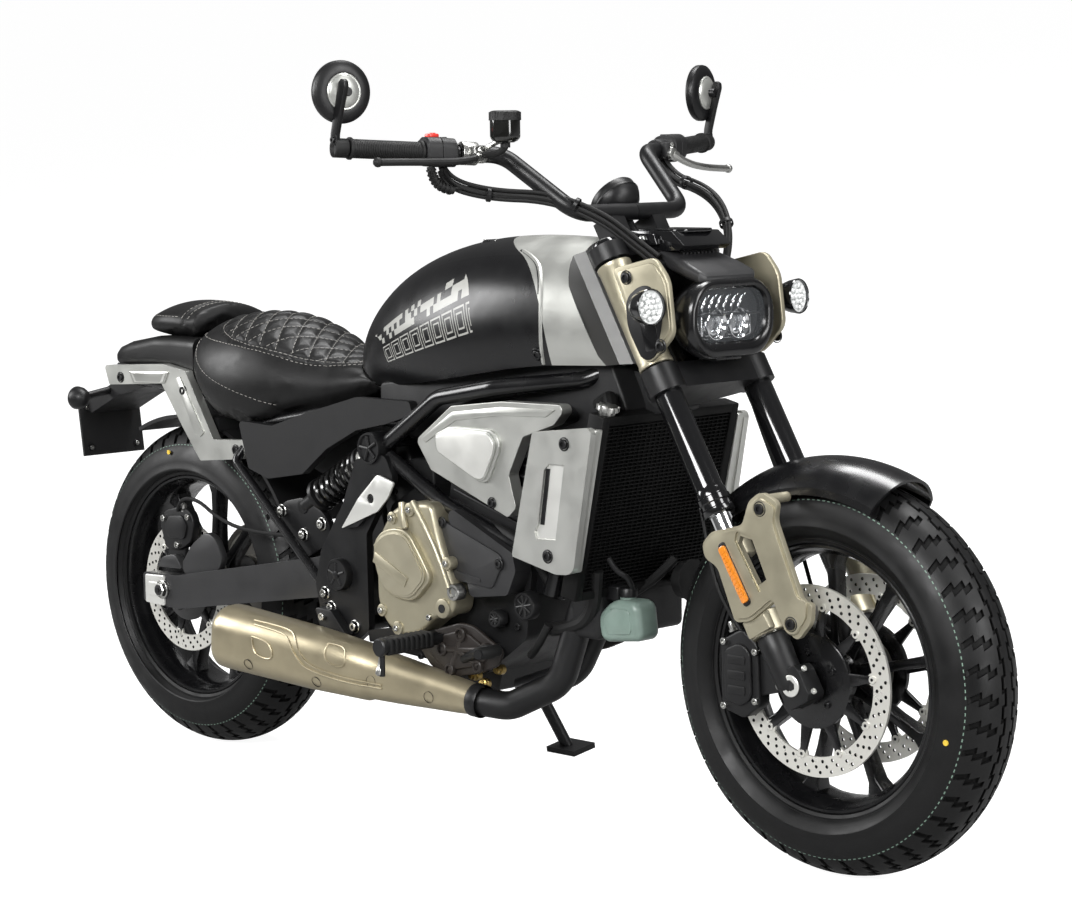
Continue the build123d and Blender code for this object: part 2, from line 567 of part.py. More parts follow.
# distance from the bar end, radius, length
grip_table = [(-14, 15.5, 24), (12, 18, 6), (18, 15, 120), (134, 18, 5), (139, 23, 56), (206, 19, 28)]
grip_parts = [along_bar(start, radius, length) for start, radius, length in grip_table]
perch = 220.0
lever_mount = rod(bar_point(perch, -4, 6), bar_point(perch, -6, 34), 10)
lever_right = pipe([bar_point(perch, -6, 28), bar_point(150, -16, 48), bar_point(22, -22, 58)], 6, 30)
lever_left = pipe([bar_point(perch, -6, 28), bar_point(150, -32, 50), bar_point(10, -46, 62)], 6, 30)
reservoir_x = -501.0
reservoir = rod((reservoir_x, -226, 828), (reservoir_x, -226, 881), 26)
reservoir_arm = rod(bar_point(perch, 0, 10), (reservoir_x, -226, 842), 8)
controls_right = fuse(*grip_parts, lever_mount, lever_right, reservoir, reservoir_arm)
controls_left = fuse(*grip_parts, lever_mount, lever_left)
bar_controls = trim(Compound(children=[controls_right, mirrored(controls_left)]), handlebar, fork_yokes)

mirror_turn = 15.0
mirror_radius = 50.0
mirror_point = (-665, -428, 913)
mirror_frame = Pos(*mirror_point) * Rot(0, 0, -mirror_turn) * Rot(0, 90, 0)
mirror_dish = mirror_frame * Pos(0, 0, 2) * Cylinder(mirror_radius, 16)
mirror_boss = mirror_frame * Pos(0, 0, 14) * Cylinder(29, 10)
mirror_pivot = mirror_frame * Pos(0, 0, 24) * Cylinder(7, 16)
mirror_arm = pipe([bar_point(-4, 8, 4), (-650, -444, 880), (-637, -441, 922)], 7, 60)
mirror_side = trim(fuse(mirror_arm, mirror_dish, mirror_boss, mirror_pivot), bar_controls, handlebar)
mirrors = pair(mirror_side)

gauge_frame = Plane(origin=(-473, 0, 732), z_dir=(-0.75, 0, 0.66)).location
gauge_body = gauge_frame * Cylinder(42, 26)
gauge_back = gauge_frame * Pos(0, 0, -22) * Cylinder(28, 20)
gauge_stay = rod((-458, 0, 716), (-424, 0, 668), 8)
gauge_pod = trim(fuse(gauge_body, gauge_back, gauge_stay), handlebar, fork_yokes, headlamp_cowl)

# ---------------------------------------------------------------- front fender and brakes
fender_radius = 343.0
fender_front = 23.0         # reach of the fender from straight up, degrees
fender_rear = 40.0
fender_crown = 5.0
fender_section = ring_plane * make_face([
    ThreePointArc((-76, 300), (0, fender_radius), (76, 300)),
    Line((76, 300), (76, 288)),
    Line((76, 288), (72, 288)),
    Line((72, 288), (72, 297)),
    ThreePointArc((72, 297), (0, fender_radius - fender_crown), (-72, 297)),
    Line((-72, 297), (-72, 288)),
    Line((-72, 288), (-76, 288)),
    Line((-76, 288), (-76, 300)),
])
reach = 2 * fender_radius
fender_window = side_plate(
    [(0, 0), (-reach * sin(radians(fender_rear)), reach * cos(radians(fender_rear))),
     (reach * sin(radians(fender_front)), reach * cos(radians(fender_front)))], -100, 100)
front_fender = revolve(fender_section, axis=Axis.Y) & fender_window

stay_y = (-146.0, -134.0)
stay_outline = [
    (-162, 207), (-143, 227), (-80, 243), (-67, 281), (-43, 297), (-10, 283), (-15, 255), (37, 137),
    (57, 135), (55, 105), (29, 75), (10, 87), (-15, 133), (-65, 95), (-95, 90), (-131, 173), (-157, 185),
]
stay_window = [(-79, 225), (-61, 221), (-35, 163), (-51, 155), (-83, 215)]
stay_plate = side_plate(stay_outline, *stay_y, 4) - side_plate(stay_window, stay_y[0] - 4, stay_y[1] + 4, 3)
stay_lug = cross_pin(-47, 283, stay_y[1], -76, 8)
stay_collar = in_fork(fuse(Pos(fork_lead, -fork_track, 236) * Cylinder(29, 40),
                           Pos(fork_lead, -fork_track, 106) * Cylinder(30, 34)))
stay_link = in_fork(fuse(Pos(fork_lead, -130, 236) * Box(36, 20, 36), Pos(fork_lead + 6, -132, 106) * Box(48, 16, 30)))
stay_side = trim(fuse(stay_plate, stay_lug, stay_collar, stay_link), fork_legs, front_fender, fork_tubes)
fender_stays = pair(stay_side)
reflector_outline = [(-125, 205), (-111, 213), (-61, 129), (-75, 121)]
front_reflectors = pair(side_plate(reflector_outline, stay_y[0] - 6, stay_y[0], 2))

caliper_gap = 5.5
caliper_face = front_disc_y + disc_seat + caliper_gap
caliper_back = front_disc_y - disc_seat - caliper_gap
caliper_outline = [(-159, 51), (-115, 73), (-83, 51), (-79, -45), (-111, -69), (-157, -57)]
caliper_bridge = side_plate([(-170, -24), (-170, 34), (-156, 34), (-156, -24)], -caliper_face - 8, -caliper_back + 8, 3)
caliper_lug = side_plate([(-95, 37), (-35, 35), (-25, -15), (-95, -33)], -100, -90, 5)
caliper_side = trim(
    fuse(side_plate(caliper_outline, -110, -caliper_face, 8),
         side_plate([(-168, 40), (-120, 62), (-104, 44), (-102, -36), (-118, -52), (-160, -36)],
                    -caliper_back, -caliper_back + 13, 6),
         caliper_bridge, caliper_lug), fork_legs, fender_stays)
front_calipers = pair(caliper_side)

# ---------------------------------------------------------------- cables
cable_radius = 5.0
cable_right = pipe([bar_point(160, -20, 6), (-604, -262, 767), (-560, -205, 746), (-478, -150, 742),
                    (-403, -108, 709), (-356, -84, 668), (-318, -72, 640)], cable_radius, 26)
cable_left = pipe([(-590, 236, 802), (-538, 205, 766), (-452, 190, 749), (-386, 165, 718), (-340, 132, 669),
                   (-334, 108, 625)], cable_radius, 26)
control_cables = trim(Compound(children=[cable_right, cable_left]), bar_controls, handlebar, fork_yokes,
                      headlamp_cowl, headlamp_body, gauge_pod, fork_shrouds, fork_tubes)

# ---------------------------------------------------------------- side stand
stand_pivot = (618.0, 262.0)
stand_bolt_radius = 6.0
stand_eye_y = (158.0, 182.0)
stand_foot = (700.0, 250.0)
stand_bracket = span_box(590, 646, -plate_y[1], -plate_y[0], 246, 300)
stand_bolt = cross_pin(*stand_pivot, -plate_y[1], stand_eye_y[1] + 4, stand_bolt_radius)
stand_leg = rod((stand_pivot[0], 170, stand_pivot[1]), (stand_foot[0] - 6, stand_foot[1] - 4, 44), 11)
stand_eye = cross_pin(*stand_pivot, *stand_eye_y, 17)
stand_bore = cross_pin(*stand_pivot, 100, 220, stand_bolt_radius + running_fit)
pivot_plates = fuse(pivot_pair, trim(stand_bracket, engine_block, engine_covers, foot_controls_left), stand_bolt)

# ---------------------------------------------------------------- lean onto the stand
# the rear tyre rolls onto its crown as the machine leans
crown_lift = rear_row["crown"] * (1 - cos(radians(stand_lean)))
lean = Pos(0, 0, crown_lift) * Rot(-stand_lean, 0, 0)
foot_low = stand_foot[1] * tan(radians(stand_lean)) - crown_lift / cos(radians(stand_lean))
stand_pad = Pos(*stand_foot, foot_low) * Rot(stand_lean, 0, 0) * Pos(0, 0, 5) * Box(70, 56, 10)
side_stand = trim(fuse(stand_leg, stand_eye, stand_pad), stand_bore)

machine_place = Pos(-758.5, -181.2, 0)
chassis = {
    "main_frame": main_frame,
    "front_cradle": front_cradle,
    "pivot_plates": pivot_plates,
    "engine_block": engine_block,
    "clutch_cover": clutch_cover,
    "engine_covers": engine_covers,
    "airbox_covers": airbox_covers,
    "radiator": radiator,
    "radiator_shrouds": radiator_shrouds,
    "coolant_bottle": coolant_bottle,
    "fuel_tank": fuel_tank,
    "tank_saddle": tank_saddle,
    "rider_seat": rider_seat,
    "pillion_pad": pillion_pad,
    "tail_cowl": tail_cowl,
    "side_panels": side_panels,
    "tail_brackets": tail_brackets,
    "rear_fender": rear_fender,
    "rear_lamps": rear_lamps,
    "swingarm": swingarm,
    "rear_shock": rear_shock,
    "rear_caliper": rear_caliper,
    "drive_chain": drive_chain,
    "exhaust_headers": exhaust_headers,
    "muffler": muffler,
    "foot_controls_right": foot_controls_right,
    "foot_controls_left": foot_controls_left,
    "side_stand": side_stand,
}
about_front_axle = {
    "fork_yokes": fork_yokes,
    "fork_tubes": fork_tubes,
    "fork_legs": fork_legs,
    "fork_shrouds": fork_shrouds,
    "headlamp_body": headlamp_body,
    "headlamp_lens": headlamp_lens,
    "headlamp_cowl": headlamp_cowl,
    "front_signals": front_signals,
    "gauge_pod": gauge_pod,
    "handlebar": handlebar,
    "bar_controls": bar_controls,
    "mirrors": mirrors,
    "front_fender": front_fender,
    "fender_stays": fender_stays,
    "front_reflectors": front_reflectors,
    "front_calipers": front_calipers,
    "control_cables": control_cables,
    "front_tyre": front_tyre,
    "front_rim": front_rim,
    "front_discs": front_discs,
}
about_rear_axle = {
    "rear_tyre": rear_tyre,
    "rear_rim": rear_rim,
    "rear_disc": rear_disc,
}
for group, group_place in ((chassis, Pos(0, 0, 0)), (about_front_axle, front_place), (about_rear_axle, rear_place)):
    for name, shape in group.items():
        export_step(machine_place * lean * group_place * shape, "parts/" + name + ".step")
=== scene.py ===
import functools
import json
import math

import bmesh
import bpy
from mathutils import Matrix, Vector
from mathutils.bvhtree import BVHTree


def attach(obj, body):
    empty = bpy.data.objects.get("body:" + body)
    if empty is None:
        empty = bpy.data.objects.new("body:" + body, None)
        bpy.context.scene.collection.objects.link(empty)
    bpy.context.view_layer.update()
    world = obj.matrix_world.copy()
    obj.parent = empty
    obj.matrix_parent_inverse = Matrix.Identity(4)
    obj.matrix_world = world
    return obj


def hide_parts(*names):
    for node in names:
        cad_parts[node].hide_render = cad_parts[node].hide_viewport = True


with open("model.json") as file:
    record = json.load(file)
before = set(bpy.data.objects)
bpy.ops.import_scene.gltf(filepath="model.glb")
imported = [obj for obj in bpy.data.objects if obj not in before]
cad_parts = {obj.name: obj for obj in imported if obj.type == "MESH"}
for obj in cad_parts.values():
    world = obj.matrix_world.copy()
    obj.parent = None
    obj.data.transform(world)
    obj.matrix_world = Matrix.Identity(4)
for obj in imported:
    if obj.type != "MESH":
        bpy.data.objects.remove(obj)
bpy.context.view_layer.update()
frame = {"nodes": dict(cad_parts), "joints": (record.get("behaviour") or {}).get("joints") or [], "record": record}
print("frame loaded")

# frames of the machine, in millimetres, read from its joints
mm = 0.001
rearAxleHeight = 0.310
joints = {joint["name"]: joint for joint in frame["joints"]}
rearAxle = Vector(joints["rear_wheel_spin"]["pos_m"])
frontAxle = Vector(joints["front_wheel_spin"]["pos_m"])
acrossAxis = Vector(joints["rear_wheel_spin"]["axis"])
forwardAxis = Vector((1, 0, 0))
upAxis = forwardAxis.cross(acrossAxis)
steerAxis = Vector(joints["steering"]["axis"])


def frameOf(origin, forward, up):
    rows = Matrix((forward, acrossAxis, up)).transposed() * mm
    return Matrix.Translation(origin) @ rows.to_4x4()


machine = frameOf(rearAxle - upAxis * rearAxleHeight, forwardAxis, upAxis)
rearWheel = frameOf(rearAxle, forwardAxis, upAxis)
frontWheel = frameOf(frontAxle, forwardAxis, upAxis)
fork = frameOf(frontAxle, acrossAxis.cross(steerAxis), steerAxis)
# directions in each of them
toFront, toRight, toTop = (1, 0, 0), (0, -1, 0), (0, 0, 1)
down = Vector((0, 0, -1))
# a flat shape drawn in X and Y, stood up into X and Z
upright = Matrix.Rotation(math.radians(90), 4, "X")


# shader nodes: settings, then sockets that are set or linked
def setInputs(tree, node, values):
    for name, value in values.items():
        if isinstance(value, bpy.types.NodeSocket):
            tree.links.new(value, node.inputs[name])
        else:
            node.inputs[name].default_value = value


def addNode(tree, kind, values={}, **settings):
    node = tree.nodes.new("ShaderNode" + kind)
    for name, value in settings.items():
        setattr(node, name, value)
    setInputs(tree, node, values)
    return node


def mathOf(tree, operation, first, second=0.0):
    return addNode(tree, "Math", {0: first, 1: second}, operation=operation).outputs["Value"]


def mixOf(tree, factor, first, second, blend="MIX"):
    values = {"Factor": factor, "A": first, "B": second}
    return addNode(tree, "Mix", values, data_type="RGBA", blend_type=blend).outputs["Result"]


def newTree(name):
    mat = bpy.data.materials.new(name)
    mat.use_nodes = True
    return mat, mat.node_tree, mat.node_tree.nodes["Principled BSDF"]


def addObject(name, data):
    obj = bpy.data.objects.new(name, data)
    bpy.context.collection.objects.link(obj)
    return obj


# camera, light and floor
cameraView = {"place": (3.5327, -3.4126, 1.6442), "turn": (77.512, 6.7575, 44.380), "lens": 95.902,
              "sensor": 36.0, "farthest": 80.0}
camData = bpy.data.cameras.new("camera")
camData.lens = cameraView["lens"]
camData.sensor_width = cameraView["sensor"]
camData.clip_end = cameraView["farthest"]
cam = addObject("camera", camData)
cam.location = cameraView["place"]
cam.rotation_euler = [math.radians(a) for a in cameraView["turn"]]
bpy.context.scene.camera = cam
bpy.context.scene.view_settings.view_transform = "Standard"

studio = {
    "ambient": 0.14, "backdrop": 1.0, "white": (1.0, 1.0, 1.0, 1.0),
    "floorSize": 40.0, "floorGlow": 0.94, "floorGrey": (0.30, 0.30, 0.30, 1.0), "floorRough": 0.8,
    # place, size, power, aim
    "areas": [
        ((1.2, -3.6, 3.0), (2.4, 1.2), 218, (0.2, 0.0, 0.6)),
        ((4.2, 0.6, 2.6), (1.2, 2.6), 124, (0.3, 0.0, 0.5)),
        ((-3.4, -2.2, 2.4), (1.4, 2.0), 120, (-0.3, 0.0, 0.5)),
        ((0.0, 1.6, 4.4), (3.6, 1.2), 236, (0.0, 0.0, 0.6)),
        ((5.2, -1.0, 1.3), (1.0, 1.8), 64, (0.6, 0.0, 0.6)),
    ],
}
world = bpy.data.worlds.new("studio")
bpy.context.scene.world = world
world.use_nodes = True
worldTree = world.node_tree
isSeen = addNode(worldTree, "LightPath").outputs["Is Camera Ray"]
brightness = addNode(worldTree, "Mix", {"Factor": isSeen, "A": studio["ambient"], "B": studio["backdrop"]})
setInputs(worldTree, worldTree.nodes["Background"],
          {"Color": studio["white"], "Strength": brightness.outputs["Result"]})
for index, (place, size, power, aim) in enumerate(studio["areas"]):
    data = bpy.data.lights.new(f"softbox{index}", "AREA")
    data.shape = "RECTANGLE"
    data.size, data.size_y = size
    data.energy = power
    light = addObject(f"softbox{index}", data)
    light.location = place
    light.rotation_euler = (Vector(aim) - Vector(place)).to_track_quat("-Z", "Y").to_euler()

floorBm = bmesh.new()
bmesh.ops.create_grid(floorBm, x_segments=1, y_segments=1, size=studio["floorSize"])
floorMesh = bpy.data.meshes.new("floor")
floorBm.to_mesh(floorMesh)
floorBm.free()
floor = addObject("floor", floorMesh)
floorMat, floorTree, floorShader = newTree("floorWhite")
isSeen = addNode(floorTree, "LightPath").outputs["Is Camera Ray"]
setInputs(floorTree, floorShader, {
    "Base Color": studio["floorGrey"], "Roughness": studio["floorRough"], "Emission Color": studio["white"],
    "Emission Strength": mathOf(floorTree, "MULTIPLY", isSeen, studio["floorGlow"])})
floorMesh.materials.append(floorMat)
print("camera and studio ready")


# shader groups shared by the finishes
def newGroup(name, inputs, outputs):
    group = bpy.data.node_groups.new(name, "ShaderNodeTree")
    for label, value in inputs.items():
        kind = "NodeSocketFloat" if isinstance(value, float) else "NodeSocketColor"
        group.interface.new_socket(label, in_out="INPUT", socket_type=kind).default_value = value
    for label, kind in outputs.items():
        group.interface.new_socket(label, in_out="OUTPUT", socket_type=kind)
    return group, group.nodes.new("NodeGroupInput").outputs, group.nodes.new("NodeGroupOutput")


def makeGrainGroup():
    # fine bumps of powder coat, casting skin or moulded plastic
    group, given, leave = newGroup("surfaceGrain", {"Size": 900.0, "Depth": 0.2, "Coarse": 60.0},
                                   {"Normal": "NodeSocketVector", "Mask": "NodeSocketFloat"})
    place = addNode(group, "TexCoord").outputs["Object"]
    fine = addNode(group, "TexNoise", {"Vector": place, "Scale": given["Size"], "Detail": 3.0})
    broad = addNode(group, "TexNoise", {"Vector": place, "Scale": given["Coarse"], "Detail": 4.0})
    bump = addNode(group, "Bump", {"Distance": 0.0004, "Strength": given["Depth"],
                                   "Height": fine.outputs["Fac"]})
    setInputs(group, leave, {"Normal": bump.outputs["Normal"], "Mask": broad.outputs["Fac"]})
    return group


def makeWearGroup():
    # lighter rubbed edges and a darker tone that varies at random
    group, given, leave = newGroup(
        "edgeWear",
        {"Colour": (0.5, 0.5, 0.5, 1.0), "Worn": (0.6, 0.6, 0.6, 1.0), "Amount": 0.3, "Tone": 0.1},
        {"Colour": "NodeSocketColor", "Mask": "NodeSocketFloat"})
    place = addNode(group, "TexCoord").outputs["Object"]
    patch = addNode(group, "TexNoise", {"Vector": place, "Scale": 38.0, "Detail": 5.0}).outputs["Fac"]
    pointed = addNode(group, "NewGeometry").outputs["Pointiness"]
    rubbed = {"Value": pointed, "From Min": 0.52, "From Max": 0.62}
    edges = addNode(group, "MapRange", rubbed).outputs["Result"]
    amount = mathOf(group, "MULTIPLY", mathOf(group, "MULTIPLY", edges, patch), given["Amount"])
    darkest = mathOf(group, "SUBTRACT", 1.0, given["Tone"])
    tone = addNode(group, "MapRange", {"Value": patch, "To Min": 1.0, "To Max": darkest}).outputs["Result"]
    grey = addNode(group, "CombineColor", {"Red": tone, "Green": tone, "Blue": tone}).outputs["Color"]
    toned = mixOf(group, 1.0, given["Colour"], grey, "MULTIPLY")
    setInputs(group, leave, {"Colour": mixOf(group, amount, toned, given["Worn"]), "Mask": amount})
    return group


grainGroup = makeGrainGroup()
wearGroup = makeWearGroup()

finishes = {
    # colour, worn colour, metallic, roughness low and high, grain size, grain depth,
    # wear, tone, specular, coat
    "frameBlack": ((0.004, 0.004, 0.0045), 0.03, 0, 0.2, 0.3, 1400, 0.08, 0.25, 0.25, 0.45, 0.1),
    "satinBlack": ((0.005, 0.005, 0.0055), 0.03, 0, 0.34, 0.46, 1800, 0.12, 0.2, 0.25, 0.32),
    "castBlack": ((0.006, 0.006, 0.0065), 0.035, 0, 0.36, 0.52, 700, 0.4, 0.35, 0.35, 0.34),
    "rimBlack": ((0.004, 0.004, 0.0045), 0.03, 0, 0.2, 0.32, 1400, 0.06, 0.15, 0.2, 0.4, 0.2),
    "brownCast": ((0.02, 0.016, 0.014), (0.08, 0.07, 0.06), 0.1, 0.34, 0.5, 800, 0.35, 0.35, 0.35, 0.38),
    "darkGrey": ((0.018, 0.018, 0.019), 0.08, 0, 0.36, 0.5, 900, 0.25, 0.3, 0.25, 0.4),
    "armGrey": ((0.03, 0.03, 0.031), 0.12, 0.2, 0.34, 0.46, 1200, 0.12, 0.3, 0.25, 0.42),
    "silverPaint": ((0.502, 0.507, 0.479), (0.707, 0.707, 0.684), 0.75, 0.3, 0.42, 2400, 0.08,
                    0.25, 0.1, 0.5),
    "bronze": ((0.394, 0.362, 0.265), (0.594, 0.551, 0.432), 0.7, 0.32, 0.46, 1800, 0.14, 0.35, 0.16, 0.5),
    "muffler": ((0.439, 0.384, 0.262), (0.671, 0.598, 0.439), 0.78, 0.33, 0.47, 1500, 0.18, 0.3, 0.22, 0.5),
    "tankBlack": ((0.004, 0.004, 0.0045), 0.03, 0, 0.26, 0.34, 2600, 0.04, 0.05, 0.12, 0.38),
    # deep black of the radiator core, also used as painted shade in the tyre's tread grooves
    "coreBlackGrooveShade": (0.003, 0.02, 0, 0.5, 0.64, 900, 0.2, 0.2, 0.2, 0.14),
    # silver darkened into painted shade, for the saddle's faces that look toward the fork
    "stepSilverShade": ((0.15, 0.15, 0.147), 0.3, 0.3, 0.36, 0.46, 2400, 0.08, 0.1, 0.1, 0.5),
    "plasticBlack": ((0.009, 0.009, 0.0095), 0.04, 0, 0.44, 0.58, 1100, 0.3, 0.2, 0.2, 0.3),
    "rubberBlack": (0.006, 0.04, 0, 0.5, 0.68, 900, 0.35, 0.2, 0.3, 0.28),
    "tyreRubber": ((0.006, 0.006, 0.0062), 0.025, 0, 0.36, 0.56, 600, 0.3, 0.2, 0.35, 0.26),
    "chrome": ((0.74, 0.75, 0.76), 0.82, 1, 0.08, 0.16, 2200, 0.03, 0.1, 0.08, 0.5),
    "zinc": ((0.5, 0.5, 0.48), (0.7, 0.7, 0.68), 1, 0.24, 0.4, 1500, 0.12, 0.4, 0.3, 0.5),
    "discSteel": ((0.7, 0.69, 0.64), (0.8, 0.79, 0.75), 0.55, 0.26, 0.36, 1200, 0.08, 0.2, 0.12, 0.5),
    "brightPlate": ((0.717, 0.717, 0.683), (0.84, 0.84, 0.818), 0.6, 0.3, 0.4, 2400, 0.08, 0.2, 0.08, 0.5),
    "brass": ((0.36, 0.25, 0.08), (0.6, 0.48, 0.2), 0.9, 0.25, 0.4, 1200, 0.1, 0.3, 0.2, 0.5),
    "springBlack": (0.004, 0.04, 0, 0.1, 0.2, 1500, 0.05, 0.2, 0.1, 0.5, 0.4),
    "bottleGreen": ((0.2, 0.27, 0.235), (0.34, 0.42, 0.38), 0, 0.26, 0.38, 900, 0.1, 0.1, 0.35, 0.5),
    "amber": ((0.7, 0.22, 0.015), (0.8, 0.34, 0.05), 0, 0.14, 0.24, 900, 0.05, 0.1, 0.2, 0.5, 0.6),
    "lampRed": ((0.35, 0.012, 0.012), (0.4, 0.03, 0.03), 0, 0.1, 0.2, 900, 0.05, 0.1, 0.2, 0.5, 0.6),
    "switchRed": ((0.62, 0.035, 0.025), (0.7, 0.1, 0.08), 0, 0.3, 0.42, 900, 0.1, 0.1, 0.1, 0.5, 0.2),
    "chainSteel": ((0.26, 0.25, 0.23), (0.5, 0.48, 0.42), 0.9, 0.3, 0.48, 900, 0.2, 0.5, 0.4, 0.5),
    "reflectorSilver": ((0.85, 0.86, 0.87), 0.9, 1, 0.05, 0.12, 900, 0.02, 0.1, 0.05, 0.5),
    "leather": ((0.007, 0.0069, 0.007), (0.04, 0.039, 0.038), 0, 0.36, 0.54, 520, 0.5, 0.2, 0.3, 0.3),
    "thread": ((0.26, 0.25, 0.23), (0.4, 0.39, 0.37), 0, 0.55, 0.7, 1800, 0.3, 0.2, 0.2, 0.4),
    "tyreMark": ((0.2, 0.3, 0.24), (0.5, 0.6, 0.5), 0, 0.6, 0.7, 900, 0.1, 0.1, 0.5, 0.3),
    "gloss": ((0.005, 0.005, 0.0055), 0.03, 0, 0.07, 0.14, 1600, 0.03, 0.05, 0.1, 0.5, 0.4),
    "clearLens": ((0.3, 0.32, 0.34), 0.9, 0, 0.02, 0.05, 900, 0.01, 0.05, 0.05, 0.5, 0.8),
    "lampWhite": ((0.9, 0.91, 0.9), 0.95, 0, 0.16, 0.24, 900, 0.05, 0.05, 0.05, 0.5, 0.6),
    "smokedGlass": ((0.006, 0.006, 0.0055), 0.03, 0, 0.05, 0.1, 900, 0.02, 0.05, 0.1, 0.5, 0.6),
    "yellowDot": ((0.75, 0.5, 0.04), (0.8, 0.6, 0.1), 0, 0.6, 0.7, 900, 0.1, 0.1, 0.2, 0.5),
}


def makeFinish(name):
    colour, worn, metallic, low, high, grainSize, grainDepth, wear, tone, specular, *coat = finishes[name]
    colour, worn = ((*value, 1) if isinstance(value, tuple) else (value, value, value, 1)
                    for value in (colour, worn))
    mat, tree, shader = newTree(name)
    grain = addNode(tree, "Group", {"Size": grainSize, "Depth": grainDepth, "Coarse": 24.0},
                    node_tree=grainGroup)
    edge = addNode(tree, "Group", {"Colour": colour, "Worn": worn, "Amount": wear, "Tone": tone},
                   node_tree=wearGroup)
    spread = addNode(tree, "MapRange", {"Value": grain.outputs["Mask"], "From Min": 0.3, "From Max": 0.7,
                                        "To Min": low, "To Max": high})
    setInputs(tree, shader, {
        "Metallic": metallic, "Specular IOR Level": specular, "Coat Weight": coat[0] if coat else 0.0,
        "Coat Roughness": 0.12, "Base Color": edge.outputs["Colour"], "Roughness": spread.outputs["Result"],
        "Normal": grain.outputs["Normal"]})
    return mat


mats = {name: makeFinish(name) for name in finishes}
mats["clearLens"].node_tree.nodes["Principled BSDF"].inputs["Alpha"].default_value = 0.12
print("finishes made:", len(mats))


# points of a circle, as pairs
def around(count, reach=1.0, first=0.0):
    for index in range(count):
        angle = math.radians(first + 360.0 * index / count)
        yield math.cos(angle) * reach, math.sin(angle) * reach


def vertsOf(made):
    return [g for g in made["geom"] if isinstance(g, bmesh.types.BMVert)]


def isSharp(edge, limit):
    return len(edge.link_faces) == 2 and edge.calc_face_angle(0.0) > limit


# parts of a piece, all in millimetres
def joinPart(bm, part, place=None):
    if place:
        bmesh.ops.transform(part, matrix=place, verts=part.verts)
    mesh = bpy.data.meshes.new("part")
    part.to_mesh(mesh)
    part.free()
    bm.from_mesh(mesh)
    bpy.data.meshes.remove(mesh)


def roundOff(part, geom, offset, affect, segments, clamp=True):
    bmesh.ops.bevel(part, geom=geom, offset=offset, offset_type="OFFSET", affect=affect, segments=segments,
                    profile=0.5, material=-1, clamp_overlap=clamp)


def finishPart(bm, part, mat=0, edge=0.0, segments=2, sharp=40.0, place=None):
    for face in part.faces:
        face.material_index = mat
    if edge:
        roundOff(part, [e for e in part.edges if isSharp(e, math.radians(sharp))], edge, "EDGES", segments)
    joinPart(bm, part, place)


def addRod(bm, start, end, radius, endRadius=None, segments=28, edge=0.0, mat=0):
    start, end = Vector(start), Vector(end)
    run = end - start
    turn = run.to_track_quat("Z", "Y").to_matrix().to_4x4()
    part = bmesh.new()
    bmesh.ops.create_cone(part, cap_ends=True, segments=segments, radius1=radius,
                          radius2=radius if endRadius is None else endRadius, depth=run.length,
                          matrix=Matrix.Translation((start + end) / 2) @ turn)
    finishPart(bm, part, mat, edge)


def addBox(bm, centre, size, edge=0.0, mat=0, segments=2):
    part = bmesh.new()
    bmesh.ops.create_cube(part, size=1.0, matrix=Matrix.Translation(centre) @ Matrix.Diagonal((*size, 1.0)))
    finishPart(bm, part, mat, edge, segments)


def thicken(part, depth):
    made = bmesh.ops.extrude_face_region(part, geom=part.faces[:])
    bmesh.ops.translate(part, verts=vertsOf(made), vec=(0, depth, 0))
    bmesh.ops.recalc_face_normals(part, faces=part.faces)


def addPlate(bm, outline, low, high, corner=0.0, edge=0.0, mat=0, segments=2, place=None, holes=(), cuts=()):
    # outline in X and Z, thickness along Y; holes: x, z, radius; cuts: outlines of windows
    part = bmesh.new()
    verts = [part.verts.new((x, low, z)) for x, z in outline]
    part.faces.new(verts)
    if corner:
        roundOff(part, verts, corner, "VERTICES", 5)
    if holes or cuts:
        for cut in cuts:
            rim = [part.verts.new((x, low, z)) for x, z in cut]
            for pair in zip(rim, rim[1:] + rim[:1]):
                part.edges.new(pair)
        for x, z, radius in holes:
            bmesh.ops.create_circle(part, cap_ends=False, segments=24, radius=radius,
                                    matrix=Matrix.Translation((x, low, z)) @ upright)
        bmesh.ops.delete(part, geom=part.faces[:], context="FACES_ONLY")
        bmesh.ops.triangle_fill(part, use_beauty=True, use_dissolve=False, edges=part.edges[:])
    thicken(part, high - low)
    finishPart(bm, part, mat, edge, segments, 50.0, place)


def addSpin(bm, profile, steps=96, mat=0, closed=False, place=None):
    # profile of (radius, y) turned round the Y axis
    part = bmesh.new()
    verts = [part.verts.new((r, y, 0)) for r, y in profile]
    edges = [part.edges.new(pair) for pair in zip(verts, verts[1:])]
    if closed:
        edges.append(part.edges.new((verts[-1], verts[0])))
    bmesh.ops.spin(part, geom=verts + edges, cent=(0, 0, 0), axis=(0, 1, 0), angle=math.radians(360.0),
                   steps=steps, use_merge=True, use_duplicate=False)
    bmesh.ops.remove_doubles(part, verts=part.verts, dist=1e-4)
    bmesh.ops.recalc_face_normals(part, faces=part.faces)
    finishPart(bm, part, mat, place=place)


def addTurned(bm, profile, origin, axis, steps=48, mat=0, closed=False):
    # profile of (radius, distance along the axis) turned round a free axis
    turn = Vector(axis).normalized().to_track_quat("Y", "Z").to_matrix().to_4x4()
    addSpin(bm, profile, steps, mat, closed, Matrix.Translation(origin) @ turn)


def addLoop(part, x, halfW, halfH, corner, height, segments):
    before = set(part.faces)
    faceForward = Matrix(((0, 0, 1), (1, 0, 0), (0, 1, 0))).to_4x4()
    size = Matrix.Diagonal((halfW, halfH, 1.0, 1.0))
    made = bmesh.ops.create_grid(part, x_segments=1, y_segments=1, size=1.0,
                                 matrix=Matrix.Translation((x, 0, height)) @ faceForward @ size)
    roundOff(part, made["verts"], corner, "VERTICES", segments, clamp=False)
    return [f for f in part.faces if f not in before][0]


